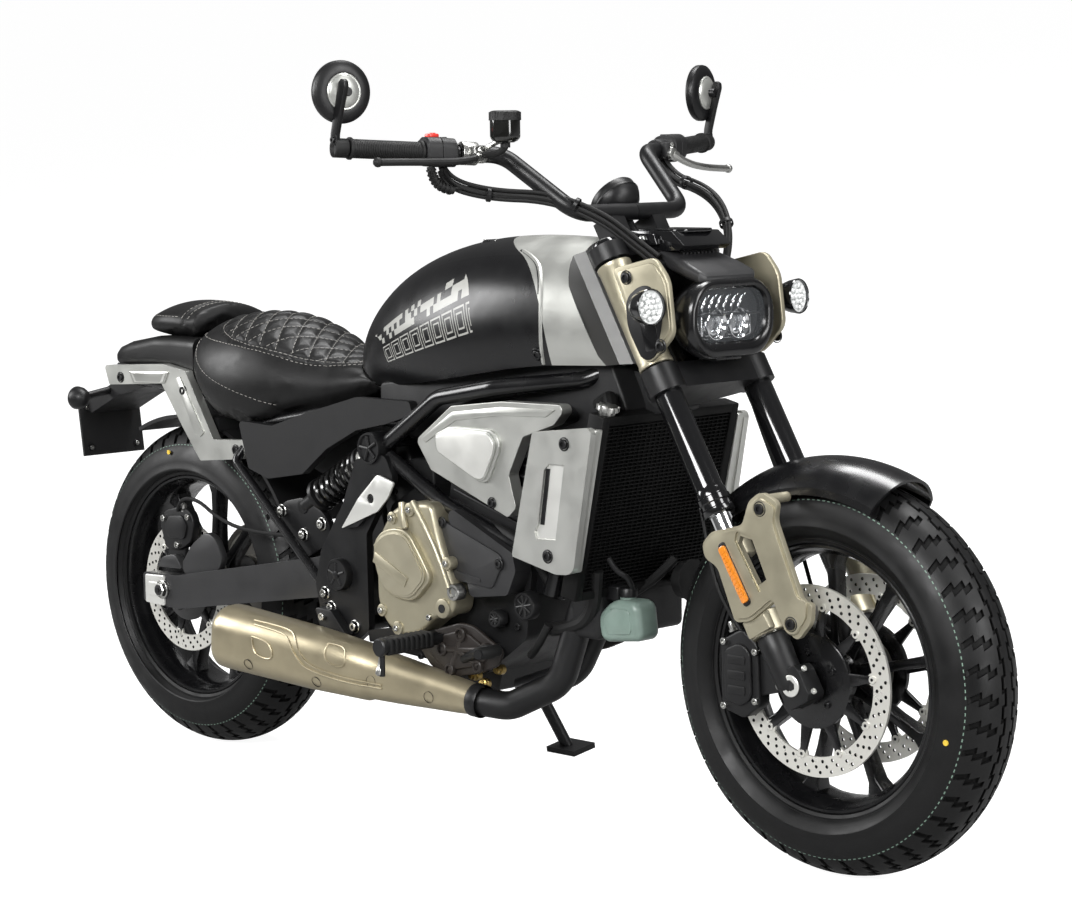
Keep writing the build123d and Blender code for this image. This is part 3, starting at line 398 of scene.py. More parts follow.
def addLoft(bm, rows, height=0.0, mat=0, capStart=True, capEnd=True, place=None, segments=8):
    # rounded oblongs one behind another: x, half width, half height, corner, shift up
    part = bmesh.new()
    loops = []
    for x, halfW, halfH, corner, shift in rows:
        loops.append(addLoop(part, x, halfW, halfH, corner, height + shift, segments))
    rims = [list(face.edges) for face in loops]
    spare = loops[1:-1] + ([] if capStart else [loops[0]]) + ([] if capEnd else [loops[-1]])
    bmesh.ops.delete(part, geom=spare, context="FACES_ONLY")
    for first, second in zip(rims, rims[1:]):
        bmesh.ops.bridge_loops(part, edges=first + second)
    bmesh.ops.recalc_face_normals(part, faces=part.faces)
    finishPart(bm, part, mat, place=place)


def curveMesh(points, resolution, radius=0.0, ring=16):
    # smooth line near its points, a round tube where it has a radius
    data = bpy.data.curves.new("path", "CURVE")
    data.dimensions = "3D"
    data.bevel_depth = radius
    data.bevel_resolution = ring // 4 - 1
    data.use_fill_caps = True
    data.resolution_u = resolution
    spline = data.splines.new("NURBS")
    spline.points.add(len(points) - 1)
    for point, place in zip(spline.points, points):
        point.co = (*place, 1.0)
    spline.order_u = 3
    spline.use_endpoint_u = True
    carrier = bpy.data.objects.new("path", data)
    mesh = bpy.data.meshes.new_from_object(carrier)
    bpy.data.objects.remove(carrier)
    return mesh


def smoothLine(points, steps):
    return [v.co.copy() for v in curveMesh(points, steps).vertices]


def addTube(bm, points, radius, ring=16, mat=0):
    mesh = curveMesh(points, 8, radius, ring)
    part = bmesh.new()
    part.from_mesh(mesh)
    finishPart(bm, part, mat)
    bpy.data.meshes.remove(mesh)


def addBolt(bm, place, axis, radius, height, mat=0):
    # round head with a six-sided socket
    place, axis = Vector(place), Vector(axis).normalized()
    turn = axis.to_track_quat("Z", "Y").to_matrix().to_4x4()
    part = bmesh.new()
    bmesh.ops.create_cone(part, cap_ends=True, segments=18, radius1=radius, radius2=radius, depth=height,
                          matrix=Matrix.Translation(place + axis * height / 2) @ turn)
    part.normal_update()
    caps = [f for f in part.faces if len(f.verts) > 4 and f.normal.dot(axis) > 0.9]
    for inset, depth in ((radius * 0.12, radius * 0.10), (radius * 0.36, 0.0),
                         (radius * 0.02, -height * 0.55)):
        bmesh.ops.inset_region(part, faces=caps, thickness=inset, depth=depth, use_even_offset=True)
    finishPart(bm, part, mat)


def addBolts(bm, spots, y, radius, height, mat=0, ring=None, steps=28, ringMat=None, lift=0.0):
    # bolts on a face that looks to the right, each on a turned ring where one is given
    for x, z in spots:
        if ring:
            addTurned(bm, ring, (x, y, z), toRight, steps, mat if ringMat is None else ringMat)
        addBolt(bm, (x, y - lift, z), toRight, radius, height, mat)


def addStar(bm, centre, count, first, reach, radius, mat=0, across=False):
    # spokes of a crossed cap that looks to the right
    centre = Vector(centre)
    for x, z in around(count, reach, first):
        tip = Vector((x, 0, z))
        addRod(bm, centre - tip if across else centre, centre + tip, radius, segments=8, mat=mat)


def mirrorAll(bm):
    # adds the other side of everything made so far
    made = bmesh.ops.duplicate(bm, geom=bm.verts[:] + bm.edges[:] + bm.faces[:])
    bmesh.ops.scale(bm, vec=(1, -1, 1), verts=vertsOf(made))
    bmesh.ops.reverse_faces(bm, faces=[g for g in made["geom"] if isinstance(g, bmesh.types.BMFace)])


bodyOf = {node: body for body, nodes in frame["record"]["behaviour"]["bodies"].items() for node in nodes}


def addPiece(name, bm, place, finishNames, node, stands=True, smooth=34.0, outward=True, bevel=0.0):
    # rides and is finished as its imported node, and stands for it unless it only adds to it
    bmesh.ops.transform(bm, matrix=place, verts=bm.verts)
    if outward:
        bmesh.ops.recalc_face_normals(bm, faces=bm.faces)
    limit = math.radians(smooth)
    for face in bm.faces:
        face.smooth = True
    for e in bm.edges:
        e.smooth = len(e.link_faces) == 2 and e.calc_face_angle(0.0) < limit
    mesh = bpy.data.meshes.new(name)
    bm.to_mesh(mesh)
    bm.free()
    for finishName in finishNames:
        mesh.materials.append(mats[finishName])
    obj = addObject(name, mesh)
    if bevel:
        soften = obj.modifiers.new("edges", "BEVEL")
        soften.width = bevel * mm
        soften.segments = 2
        soften.limit_method = "ANGLE"
        soften.angle_limit = math.radians(32.0)
        soften.harden_normals = True
    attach(obj, bodyOf[node])
    if stands:
        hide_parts(node)
    return obj


def scaled(outline, share, middle):
    return [(middle[0] + (x - middle[0]) * share, middle[1] + (z - middle[1]) * share) for x, z in outline]


def nodeCopy(*nodes, merge=True, simplify=False):
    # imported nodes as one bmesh, in metres
    bm = bmesh.new()
    for node in nodes:
        bm.from_mesh(frame["nodes"][node].data)
    if merge:
        bmesh.ops.remove_doubles(bm, verts=bm.verts, dist=1e-6)
    if simplify:
        bmesh.ops.dissolve_limit(bm, angle_limit=math.radians(1.5), verts=bm.verts, edges=bm.edges)
    return bm


# wheels: tyres with a cut tread, cast rims, drilled discs
wheels = {
    "front": {"outer": 315, "crown": 70, "bead": 212, "beadY": 52, "rimY": 50, "hubR": 34, "hubY": 68.4,
              "spoke": 15, "firstSpoke": -66, "skew": 5.6, "markTurn": -14},
    "rear": {"outer": 310, "crown": 80, "bead": 212, "beadY": 62, "rimY": 60, "hubR": 44, "hubY": 75.4,
             "spoke": 17, "firstSpoke": -73, "skew": 6.0, "markTurn": 100},
}
spokeCount = 9
tread = {
    "shoulder": 58, "rows": 13, "pitches": 44, "columns": 8, "depth": 4.2, "lip": 0.5,
    # in one pitch: lateral row, first column, last column
    "cuts": ((1, 0, 3), (2, 3, 7), (1, 7, 7), (4, 1, 2), (5, 1, 2), (6, 1, 4), (7, 3, 4), (8, 3, 4),
             (9, 3, 6), (10, 5, 6), (11, 5, 6), (12, 5, 6)),
}


def addTyre(bm, row):
    shoulder, pitch = math.radians(tread["shoulder"]), math.radians(360.0 / tread["pitches"])
    wide, bead, beadY = row["crown"], row["bead"], row["beadY"]
    rows, columns = tread["rows"], tread["columns"]
    centre = row["outer"] - wide
    profile = []
    for index in range(-rows, rows + 1):
        angle = shoulder * index / rows
        profile.append((centre + wide * math.cos(angle), wide * math.sin(angle)))
    edgeR, edgeY = profile[-1]
    side = [(edgeR - 1.6, edgeY + 0.9), (edgeR - 3.0, edgeY + 1.8),
            (edgeR - 12.0, edgeY + (wide - edgeY) * 0.62),
            (centre + 8.0, wide - 0.4), (centre - 2.0, wide + 0.1), (centre - 4.0, wide + 1.0),
            (centre - 6.0, wide + 1.0), (centre - 8.0, wide - 0.5), (bead + 14.0, (wide + beadY) / 2 + 3.0),
            (bead + 8.0, beadY + 4.6), (bead + 6.5, beadY + 4.6), (bead + 5.0, beadY + 2.4),
            (bead, beadY + 0.4), (bead - 1.0, beadY - 8.0)]
    addSpin(bm, [(r, -y) for r, y in reversed(side)] + profile + side, steps=tread["pitches"] * columns,
            closed=True)
    cuts = []
    for face in bm.faces[:]:
        middle = face.calc_center_median()
        reach = math.hypot(middle.x, middle.z)
        lateral = int(abs(math.atan2(middle.y, reach - centre)) / shoulder * rows)
        turned = math.atan2(middle.z, middle.x) / pitch
        column = int((turned + (0.5 if middle.y > 0 else 0.0)) % 1.0 * columns)
        # tread cuts take the darker, duller black: painted shade in the grooves
        if reach > edgeR and any(k == lateral and low <= column <= high for k, low, high in tread["cuts"]):
            cuts.append(face)
            face.material_index = 3
        if edgeR - 3.0 < reach < edgeR - 1.4 and int(turned * columns) % 2:
            face.material_index = 1
    for lip, depth in ((1.0, 0.25), (0.6, 0.75)):
        bmesh.ops.inset_region(bm, faces=cuts, thickness=tread["lip"] * lip, depth=-tread["depth"] * depth,
                               use_even_offset=True)
    # lean of the cuts from the crown to the shoulder
    for vert in bm.verts:
        reach = math.hypot(vert.co.x, vert.co.z)
        if reach > edgeR - 0.5:
            share = abs(math.atan2(vert.co.y, reach - centre)) / shoulder
            vert.co = Matrix.Rotation(math.radians(row["skew"]) * share, 3, "Y") @ vert.co
    # yellow dot on each side wall
    angle, reach = math.radians(row["markTurn"]), bead + 46.0
    for sign in (-1, 1):
        dot = Vector((math.cos(angle) * reach, sign * (wide + 0.2), math.sin(angle) * reach))
        outwards = Vector((0, sign, 0))
        addRod(bm, dot - outwards * 1.5, dot + outwards * 0.4, 4.5, segments=16, mat=2)


def addRim(bm, row):
    half, bead, hubR, hubY = row["rimY"], row["bead"], row["hubR"], row["hubY"]
    wall = [(bead - 0.4, half - 0.6), (bead - 3.0, half + 1.4), (bead - 7.0, half + 1.0),
            (bead - 9.5, half - 2.5), (bead - 11.0, half - 9.0), (bead - 16.0, half - 19.0),
            (bead - 19.5, half - 26.0), (bead - 21.0, 8.0)]
    addSpin(bm, [(r, -y) for r, y in wall] + wall[::-1], steps=144, closed=True)
    hub = [(11, 0), (11, hubY), (28, hubY), (30, hubY - 1.5), (30, hubY - 9), (hubR, hubY - 13), (hubR, 24),
           (hubR + 10, 17), (hubR + 13, 0)]
    addSpin(bm, hub + [(r, -y) for r, y in hub[::-1]], closed=True)
    inner, w = bead - 18.0, row["spoke"] / 2
    edge = [(hubR + 4, w + 6), (hubR + 22, w + 1), (inner - 70, w), (inner - 22, w + 1), (inner - 4, w + 9),
            (inner + 1, w + 12)]
    for index in range(spokeCount):
        spoke = bmesh.new()
        addPlate(spoke, [(x, -z) for x, z in edge] + edge[::-1], -17, 17, edge=3.6, segments=3)
        for vert in spoke.verts:
            share = (vert.co.x - hubR) / (inner - hubR)
            vert.co.y *= 1.0 - 0.22 * math.sin(math.pi * min(max(share, 0.0), 1.0))
        angle = math.radians(row["firstSpoke"] + index * 360.0 / spokeCount)
        joinPart(bm, spoke, Matrix.Rotation(-angle, 4, "Y"))


def addDisc(bm, outer, inner, carrier, y, thick, holeRows, holeCount, arms, turn):
    # drilled ring in the first finish, its carrier in the second, which also paints shade on the walls of the
    # holes; hole rows: radius, angle of the first hole
    part = bmesh.new()
    for radius, segments in ((outer, 144), (inner, 120)):
        bmesh.ops.create_circle(part, cap_ends=False, segments=segments, radius=radius, matrix=upright)
    for reach, first in holeRows:
        for x, z in around(holeCount, reach, first):
            bmesh.ops.create_circle(part, cap_ends=False, segments=10, radius=2.9,
                                    matrix=Matrix.Translation((x, 0, z)) @ upright)
    bmesh.ops.triangle_fill(part, use_beauty=True, use_dissolve=False, edges=part.edges[:])
    thicken(part, thick)
    # walls of the drilled holes take the dark second finish: painted shade inside the holes
    for face in part.faces:
        middle = face.calc_center_median()
        wall = abs(face.normal.y) < 0.5 and inner + 2.0 < math.hypot(middle.x, middle.z) < outer - 2.0
        face.material_index = 1 if wall else 0
    joinPart(bm, part, Matrix.Translation((0, y - thick / 2, 0)))
    lip = thick / 2 + 0.9
    addSpin(bm, [(carrier, y - lip), (carrier - 3, y - lip - 1.5), (31, y - lip - 1.5), (31, y + lip + 1.5),
                 (carrier - 3, y + lip + 1.5), (carrier, y + lip)], mat=1, closed=True)
    for index in range(arms):
        arm = bmesh.new()
        addPlate(arm, [(carrier - 6, -11), (inner - 10, -6), (inner + 1, -6), (inner + 1, 6), (inner - 10, 6),
                       (carrier - 6, 11)], y - lip, y + lip, edge=1.2, mat=1)
        # floating button between the arm and the ring
        for reach, radius, segments, edge, mat in ((thick / 2 - 0.2, 10, 24, 0, 0),
                                                   (lip + 1.4, 6.2, 20, 0.7, 0), (lip + 1.9, 2.6, 12, 0, 1)):
            addRod(arm, (inner, y - reach, 0), (inner, y + reach, 0), radius, segments=segments, edge=edge,
                   mat=mat)
        joinPart(bm, arm, Matrix.Rotation(math.radians(-turn - 360.0 * index / arms), 4, "Y"))
    for x, z in around(5, 46, turn + 18):
        for sign in (-1, 1):
            addBolt(bm, (x, y + sign * (lip + 1.5), z), (0, sign, 0), 5.5, 4.4, mat=1)


for end, place in (("front", frontWheel), ("rear", rearWheel)):
    bm = bmesh.new()
    addTyre(bm, wheels[end])
    addPiece(end + "TyreTread", bm, place, ["tyreRubber", "tyreMark", "yellowDot", "coreBlackGrooveShade"],
             end + "_tyre", smooth=30)
    bm = bmesh.new()
    addRim(bm, wheels[end])
    if end == "rear":
        # sprocket on the left
        addSpin(bm, [(30, 75), (42, 75), (42, 92), (30, 92)], steps=64, mat=1, closed=True)
        tips = around(42 * 4)
        teeth = [(x * reach, z * reach) for (x, z), reach in zip(tips, (78, 84, 84, 78) * 42)]
        addPlate(bm, teeth, 91.5, 99.5, mat=1)
        for x, z in around(5, 60):
            addBolt(bm, (x, 99.5, z), (0, 1, 0), 7, 5.6, mat=1)
    else:
        # speed sensor ring on the left
        addSpin(bm, [(40, 58), (54, 58), (54, 60), (40, 60)], steps=72, mat=1, closed=True)
    addPiece(end + "RimCast", bm, place, ["rimBlack", "chainSteel"], end + "_rim", smooth=32)

bm = bmesh.new()
for y in (-71, 71):
    addDisc(bm, 150, 118, 74, y, 4.6, ((125, 0), (133.5, 3), (142, 6)), 40, 10, 8)
addPiece("frontBrakeDiscs", bm, frontWheel, ["discSteel", "rimBlack"], "front_discs")
bm = bmesh.new()
addDisc(bm, 125, 95, 66, -78, 4.6, ((101, 0), (109.5, 3.75), (118, 7.5)), 32, 6, 14)
addPiece("rearBrakeDisc", bm, rearWheel, ["discSteel", "rimBlack"], "rear_disc")
print("wheels made")

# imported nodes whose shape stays, as merged copies with rounded edges: finish, width of the edge
softened = {
    "airbox_covers": ("silverPaint", 2.6), "tail_brackets": ("silverPaint", 3.4),
    "pivot_plates": ("satinBlack", 2.2), "swingarm": ("armGrey", 4.0), "side_panels": ("plasticBlack", 2.5),
    "fork_yokes": ("satinBlack", 2.5), "engine_covers": ("darkGrey", 3.5), "engine_block": ("castBlack", 4.0),
    "rear_fender": ("plasticBlack", 1.0), "foot_controls_right": ("castBlack", 1.5),
    "foot_controls_left": ("castBlack", 1.5), "side_stand": ("satinBlack", 1.5),
}
for node, (finishName, width) in softened.items():
    addPiece(node.replace("_", " ").title().replace(" ", "") + "Shell", nodeCopy(node, simplify=True),
             Matrix.Identity(4), [finishName], node, outward=False, bevel=width)
print("softened nodes:", len(softened))

# seat and pad, inflated cloth with quilting and stitches
seatPad = {"voxel": 5.0, "shrink": 5.0, "pressure": 4.0, "cap": 8.0, "quilt": 40.0, "quiltDepth": 2.6,
           "crownWidth": 12.0, "grooveWidth": 4.2, "stitch": 4.6, "gap": 2.6, "thread": 0.55}
pillionPad = {"voxel": 4.5, "shrink": 4.0, "pressure": 4.0, "cap": 7.0}
clothFrames, smoothings = 20, 4


def evaluatedMesh(obj):
    return bpy.data.meshes.new_from_object(obj.evaluated_get(bpy.context.evaluated_depsgraph_get()))


def inflateNode(node, row):
    source = nodeCopy(node)
    mesh = bpy.data.meshes.new(node + "Work")
    source.to_mesh(mesh)
    source.free()
    work = addObject(node + "Work", mesh)
    voxels = work.modifiers.new("voxels", "REMESH")
    voxels.mode = "VOXEL"
    voxels.voxel_size = row["voxel"] * mm
    dense = evaluatedMesh(work)
    work.modifiers.clear()
    bm = bmesh.new()
    bm.from_mesh(dense)
    for turn in range(smoothings):
        bmesh.ops.smooth_vert(bm, verts=bm.verts, factor=0.5, use_axis_x=True, use_axis_y=True,
                              use_axis_z=True)
    bm.normal_update()
    for vert in bm.verts:
        vert.co -= vert.normal * row["shrink"] * mm
    bm.to_mesh(dense)
    bm.free()
    work.data = dense
    start = [v.co.copy() for v in dense.vertices]
    cloth = work.modifiers.new("pad", "CLOTH")
    cloth.settings.use_pressure = True
    cloth.settings.uniform_pressure_force = row["pressure"]
    cloth.settings.effector_weights.gravity = 0.0
    cloth.point_cache.frame_start = 1
    cloth.point_cache.frame_end = clothFrames
    for frameNumber in range(1, clothFrames + 1):
        bpy.context.scene.frame_set(frameNumber)
    puffed = evaluatedMesh(work)
    work.modifiers.clear()
    bpy.context.scene.frame_set(1)
    cap = row["cap"] * mm
    for vert, before in zip(puffed.vertices, start):
        push = vert.co - before
        if push.length > cap:
            vert.co = before + push.normalized() * cap
    work.data = puffed
    finer = work.modifiers.new("finer", "SUBSURF")
    finer.levels = finer.render_levels = 1
    bm = bmesh.new()
    bm.from_mesh(evaluatedMesh(work))
    bpy.data.objects.remove(work)
    bmesh.ops.transform(bm, matrix=machine.inverted(), verts=bm.verts)
    bm.normal_update()
    return bm


# quilted field on the seat top: x, half width
fieldRows = ((112, 34), (126, 72), (155, 100), (200, 117), (255, 120), (305, 110), (355, 92), (405, 70),
             (450, 48), (484, 20))
quiltSlopes = (-0.66, 0.66)


def fieldHalf(x):
    for (x0, h0), (x1, h1) in zip(fieldRows, fieldRows[1:]):
        if x0 <= x <= x1:
            return h0 + (h1 - h0) * (x - x0) / (x1 - x0)
    return -50.0


def quiltHeight(x, y, size):
    inside = fieldHalf(x) - abs(y)
    if inside < -6.0:
        return 0.0
    near = abs(inside)
    for slope in quiltSlopes:
        phase = ((x + slope * y) / size) % 1.0
        near = min(near, min(phase, 1.0 - phase) * size * 0.73)
    groove, crown = (1.0, 0.55) if inside > 0 else (0.6, 0.0)
    crown *= 1 - math.exp(-(near / seatPad["crownWidth"]) ** 2)
    return crown - groove * math.exp(-(near / seatPad["grooveWidth"]) ** 2)


def dropLine(tree, points, aim):
    # where the points of a line meet the surface, with its normals
    hits = [tree.ray_cast(Vector(point), Vector(aim))[:2] for point in points]
    return [hit for hit in hits if hit[0] is not None]


def layStitches(bm, tree, points, aim=down):
    # short threads along a line dropped on the surface
    path = []
    for a, b in zip(points, points[1:]):
        a, b = Vector(a), Vector(b)
        count = max(2, int((b - a).length / 2.0))
        path += [a.lerp(b, i / count) for i in range(count)]
    hits = dropLine(tree, path, aim)
    begun, run = None, 0.0
    for (a, normal), (b, _) in zip(hits, hits[1:]):
        length = (b - a).length
        if length > 14.0:
            begun, run = None, 0.0
            continue
        if begun is None and run >= seatPad["gap"]:
            begun, run = a + normal * 0.25, 0.0
        elif begun is not None and run >= seatPad["stitch"]:
            addRod(bm, begun, a + normal * 0.25, seatPad["thread"], segments=6)
            begun, run = None, 0.0
        run += length


# lines are dropped from this far above or beside the machine
farAbove, farAside = 1000, 400
bm = inflateNode("rider_seat", seatPad)
for vert in bm.verts:
    if vert.normal.z > 0.25:
        blend = min(1.0, (vert.normal.z - 0.25) * 4.0)
        raised = quiltHeight(vert.co.x, vert.co.y, seatPad["quilt"])
        vert.co += vert.normal * seatPad["quiltDepth"] * blend * raised
bm.normal_update()
seatTree = BVHTree.FromBMesh(bm)
seams = bmesh.new()
ring = [(x, -h, farAbove) for x, h in fieldRows] + [(x, h, farAbove) for x, h in fieldRows[::-1]]
layStitches(seams, seatTree, smoothLine(ring + ring[:1], 8))
for slope in quiltSlopes:
    for index in range(16):
        run = []
        for y in range(-123, 124, 3):
            x = index * seatPad["quilt"] - slope * y
            if fieldHalf(x) - abs(y) > 1.0:
                run.append((x, y, farAbove))
        if len(run) > 3:
            layStitches(seams, seatTree, run)
# outer seam round the crown, then down the flank
crownSeam = [(74, 0), (76, 60), (92, 96), (140, 118), (220, 128), (300, 120), (380, 92), (450, 60), (520, 34)]
line = smoothLine([(x, y, farAbove) for x, y in crownSeam], 10)
layStitches(seams, seatTree, line)
layStitches(seams, seatTree, [(p.x, -p.y, p.z) for p in line])
for sign in (-1, 1):
    flank = [(x, sign * farAside, z) for x, z in ((78, 790), (96, 760), (150, 726), (240, 700), (330, 676))]
    layStitches(seams, seatTree, smoothLine(flank, 10), (0, -sign, 0))
seat = addPiece("riderSeatCover", bm, machine, ["leather"], "rider_seat", smooth=80)
addPiece("riderSeatStitches", seams, machine, ["thread"], "rider_seat", stands=False)

bm = inflateNode("pillion_pad", pillionPad)
# raised front roll behind the seam
for vert in bm.verts:
    gap = abs(vert.co.x - 26.0)
    if gap < 14.0 and vert.normal.z > -0.3:
        vert.co -= vert.normal * 2.4 * math.exp(-(gap / 4.0) ** 2)
bm.normal_update()
padTree = BVHTree.FromBMesh(bm)
seams = bmesh.new()
for x in (18, 34):
    layStitches(seams, padTree, [(x, y, farAbove) for y in range(-99, 100, 6)])
for sign in (-1, 1):
    layStitches(seams, padTree, [(x, sign * farAside, 826) for x in range(-106, 20, 6)], (0, -sign, 0))
pad = addPiece("pillionPadCover", bm, machine, ["leather"], "pillion_pad", smooth=80)
addPiece("pillionPadStitches", seams, machine, ["thread"], "pillion_pad", stands=False)
print("seat and pad made")

# tank: printed panel on the flanks, lip and bolts of the saddle, dark boxes of painted shade below and behind it
tankPrint = {"origin": (622, 0, 766), "rise": 14.0, "length": 256.0, "base": 60.0, "growth": 0.22,
             "split": 0.53, "blocks": 9.0, "blockRows": 6.8, "cells": 31.0, "shade": (0.30, 0.30, 0.28, 1.0),
             "flank": 60.0}


def makePrintGroup(row):
    # mask of a mosaic strip over a row of nested outlines
    group, given, leave = newGroup("tankPrint", {"Strength": 1.0}, {"Mask": "NodeSocketFloat"})
    calc = functools.partial(mathOf, group)

    def between(value, low, high):
        return calc("MULTIPLY", calc("GREATER_THAN", value, low), calc("LESS_THAN", value, high))

    band = machine @ Matrix.Translation(row["origin"]) @ Matrix.Rotation(-math.radians(row["rise"]), 4, "Y")
    place, turn, size = band.inverted().decompose()
    where = addNode(group, "Mapping", {"Vector": addNode(group, "TexCoord").outputs["Object"],
                                       "Location": place, "Rotation": turn.to_euler(), "Scale": size})
    split = addNode(group, "SeparateXYZ", {"Vector": where.outputs["Vector"]})
    along, aside, above = (split.outputs[axis] for axis in "XYZ")
    share = calc("DIVIDE", above, calc("ADD", calc("MULTIPLY", along, row["growth"]), row["base"]))
    # mosaic of blocks above the split
    cell = addNode(group, "CombineXYZ", {"X": calc("FLOOR", calc("DIVIDE", along, row["blocks"])),
                                         "Y": calc("FLOOR", calc("MULTIPLY", share, row["blockRows"]))})
    speckle = addNode(group, "TexWhiteNoise", {"Vector": cell.outputs["Vector"]}, noise_dimensions="2D")
    mosaic = calc("MULTIPLY", calc("GREATER_THAN", speckle.outputs["Value"], 0.42),
                  between(share, row["split"] + 0.06, 1.0))
    # nested outlines below it
    slide = calc("ADD", calc("DIVIDE", along, row["cells"]), calc("MULTIPLY", share, 0.3))
    sideways = calc("ABSOLUTE", calc("SUBTRACT", calc("FRACT", slide), 0.5))
    level = calc("DIVIDE", calc("SUBTRACT", share, row["split"] / 2), row["split"])
    nest = calc("MAXIMUM", sideways, calc("ABSOLUTE", level))
    rings = calc("ADD", between(nest, 0.37, 0.43), between(nest, 0.20, 0.255))
    rings = calc("MULTIPLY", rings, between(share, 0.0, row["split"]))
    # only on the flanks, inside the strip
    whole = calc("MAXIMUM", mosaic, rings)
    rounded = calc("ADD", along, calc("MULTIPLY", calc("POWER", share, 4.0), 26.0))
    whole = calc("MULTIPLY", whole, between(rounded, 0.0, row["length"]))
    whole = calc("MULTIPLY", whole, calc("GREATER_THAN", calc("ABSOLUTE", aside), row["flank"]))
    setInputs(group, leave, {"Mask": calc("MULTIPLY", whole, given["Strength"])})
    return group


printTree = mats["tankBlack"].node_tree
tankShader = printTree.nodes["Principled BSDF"]
printMask = addNode(printTree, "Group", node_tree=makePrintGroup(tankPrint)).outputs["Mask"]
plainColour = tankShader.inputs["Base Color"].links[0].from_socket
setInputs(printTree, tankShader, {"Base Color": mixOf(printTree, printMask, plainColour, tankPrint["shade"])})

saddle = {"lip": [(972, 700), (1005, 760), (1023, 830), (1023, 880), (1008, 925), (975, 955), (927, 966)],
          "bolt": (1006, 800), "cap": (800, 0, 975)}
tankSkin = nodeCopy("fuel_tank", "tank_saddle", merge=False)
bmesh.ops.transform(tankSkin, matrix=machine.inverted(), verts=tankSkin.verts)
tankTree = BVHTree.FromBMesh(tankSkin)
tankSkin.free()

bm = nodeCopy("tank_saddle", simplify=True)
towardFork = Vector(fork.col[0][:3]).normalized()
# faces that look toward the fork take the darker silver: painted shade on the step beside the fork
for face in bm.faces:
    inward = face.normal.dot(towardFork) > 0.55 and face.normal.dot(upAxis) < 0.62
    face.material_index = 1 if inward else 0
addPiece("tankSaddleShell", bm, Matrix.Identity(4), ["silverPaint", "stepSilverShade"], "tank_saddle",
         outward=False, bevel=1.8)


def onFlank(tree, points):
    # places and normals on the right flank
    return dropLine(tree, [(x, -500, z) for x, z in points], (0, 1, 0))


bm = bmesh.new()
lip = smoothLine([(x, 0, z) for x, z in saddle["lip"]], 8)
lip = [place - normal * 1.6 for place, normal in onFlank(tankTree, [(p.x, p.z) for p in lip])]
addTube(bm, lip, 4.2, ring=12)
addTube(bm, [p + Vector((-6.5, 0.8, 1)) for p in lip], 2.6, ring=12, mat=1)
place, normal = onFlank(tankTree, [saddle["bolt"]])[0]
addTurned(bm, [(12, -3), (12, 0.8), (10.4, 1.8)], place, normal, 32, 1)
addBolt(bm, place + normal * 0.5, normal, 8.5, 3.5, mat=1)
mirrorAll(bm)
# filler cap
addTurned(bm, [(38, -4), (38, 1.5), (35, 4), (33, 4), (32, 2.6), (29, 2.6), (28, 4.6), (8, 5.6), (0, 5.6)],
          saddle["cap"], (0.03, 0, 1), 56, 1)
for x, y in around(5, 34.5):
    addBolt(bm, Vector(saddle["cap"]) + Vector((x, y, 3.2)), toTop, 2.4, 2.0, mat=2)
addPiece("tankTrim", bm, machine, ["silverPaint", "satinBlack", "zinc"], "fuel_tank", stands=False)

# dark fillers, painted shade that closes the view between tank, frame, engine and wheel: outline in X and Z, half
# width
shadeFillerBoxes = {
    "underTank": ([(575, 636), (575, 730), (640, 738), (770, 758), (930, 784), (1060, 796), (1128, 798),
                   (1152, 752), (1170, 712), (1120, 690), (1040, 650), (700, 636)], 92),
    "battery": ([(352, 566), (372, 668), (600, 700), (640, 560), (560, 520), (430, 540)], 72),
    "gearbox": ([(440, 350), (450, 470), (560, 545), (640, 600), (700, 600), (700, 300), (520, 300)], 82),
    "headStock": ([(1090, 716), (1120, 770), (1150, 776), (1205, 712), (1190, 704)], 46),
}
bm = bmesh.new()
for outline, half in shadeFillerBoxes.values():
    addPlate(bm, outline, -half, half, corner=10, edge=5, segments=3)
addBox(bm, (1078, 0, 392), (70, 210, 120), 12, segments=3)
addTurned(bm, [(0, -14), (26, -14), (30, -10), (30, 8), (36, 10), (36, 14), (20, 16), (8, 12), (0, 12)],
          (1158, 62, 418), (1, 0, 0.1), 36, 1)
addRod(bm, (1110, 62, 420), (1150, 62, 418), 7, segments=16, mat=1)
addTube(bm, [(1120, -118, 452), (1112, -112, 420), (1098, -104, 380), (1060, -100, 350), (1000, -100, 340)],
        12, mat=1)
addTube(bm, [(1130, 60, 452), (1120, 30, 424), (1104, -20, 400), (1090, -60, 372)], 9, mat=1)
# dark block behind the head tube, painted shade in the gap between the saddle and the fork, drawn in the fork
# frame
part = bmesh.new()
addBox(part, (-80, 0, 646), (24, 78, 170), 5, segments=3)
joinPart(bm, part, machine.inverted() @ fork)
# a hose and a loom along the rails: x, distance from the middle, z
railHose = ((690, 98, 640), (780, 104, 700), (900, 104, 726), (1010, 96, 744), (1090, 76, 748))
railLoom = ((560, 96, 560), (600, 104, 500), (610, 104, 430), (580, 96, 360))
for sign in (-1, 1):
    for route, radius in ((railHose, 6.5), (railLoom, 6)):
        addTube(bm, [(x, sign * y, z) for x, y, z in route], radius, mat=1)
addPiece("shadeFillersAndHoses", bm, machine, ["plasticBlack", "rubberBlack"], "side_panels", stands=False)
print("tank trim made")

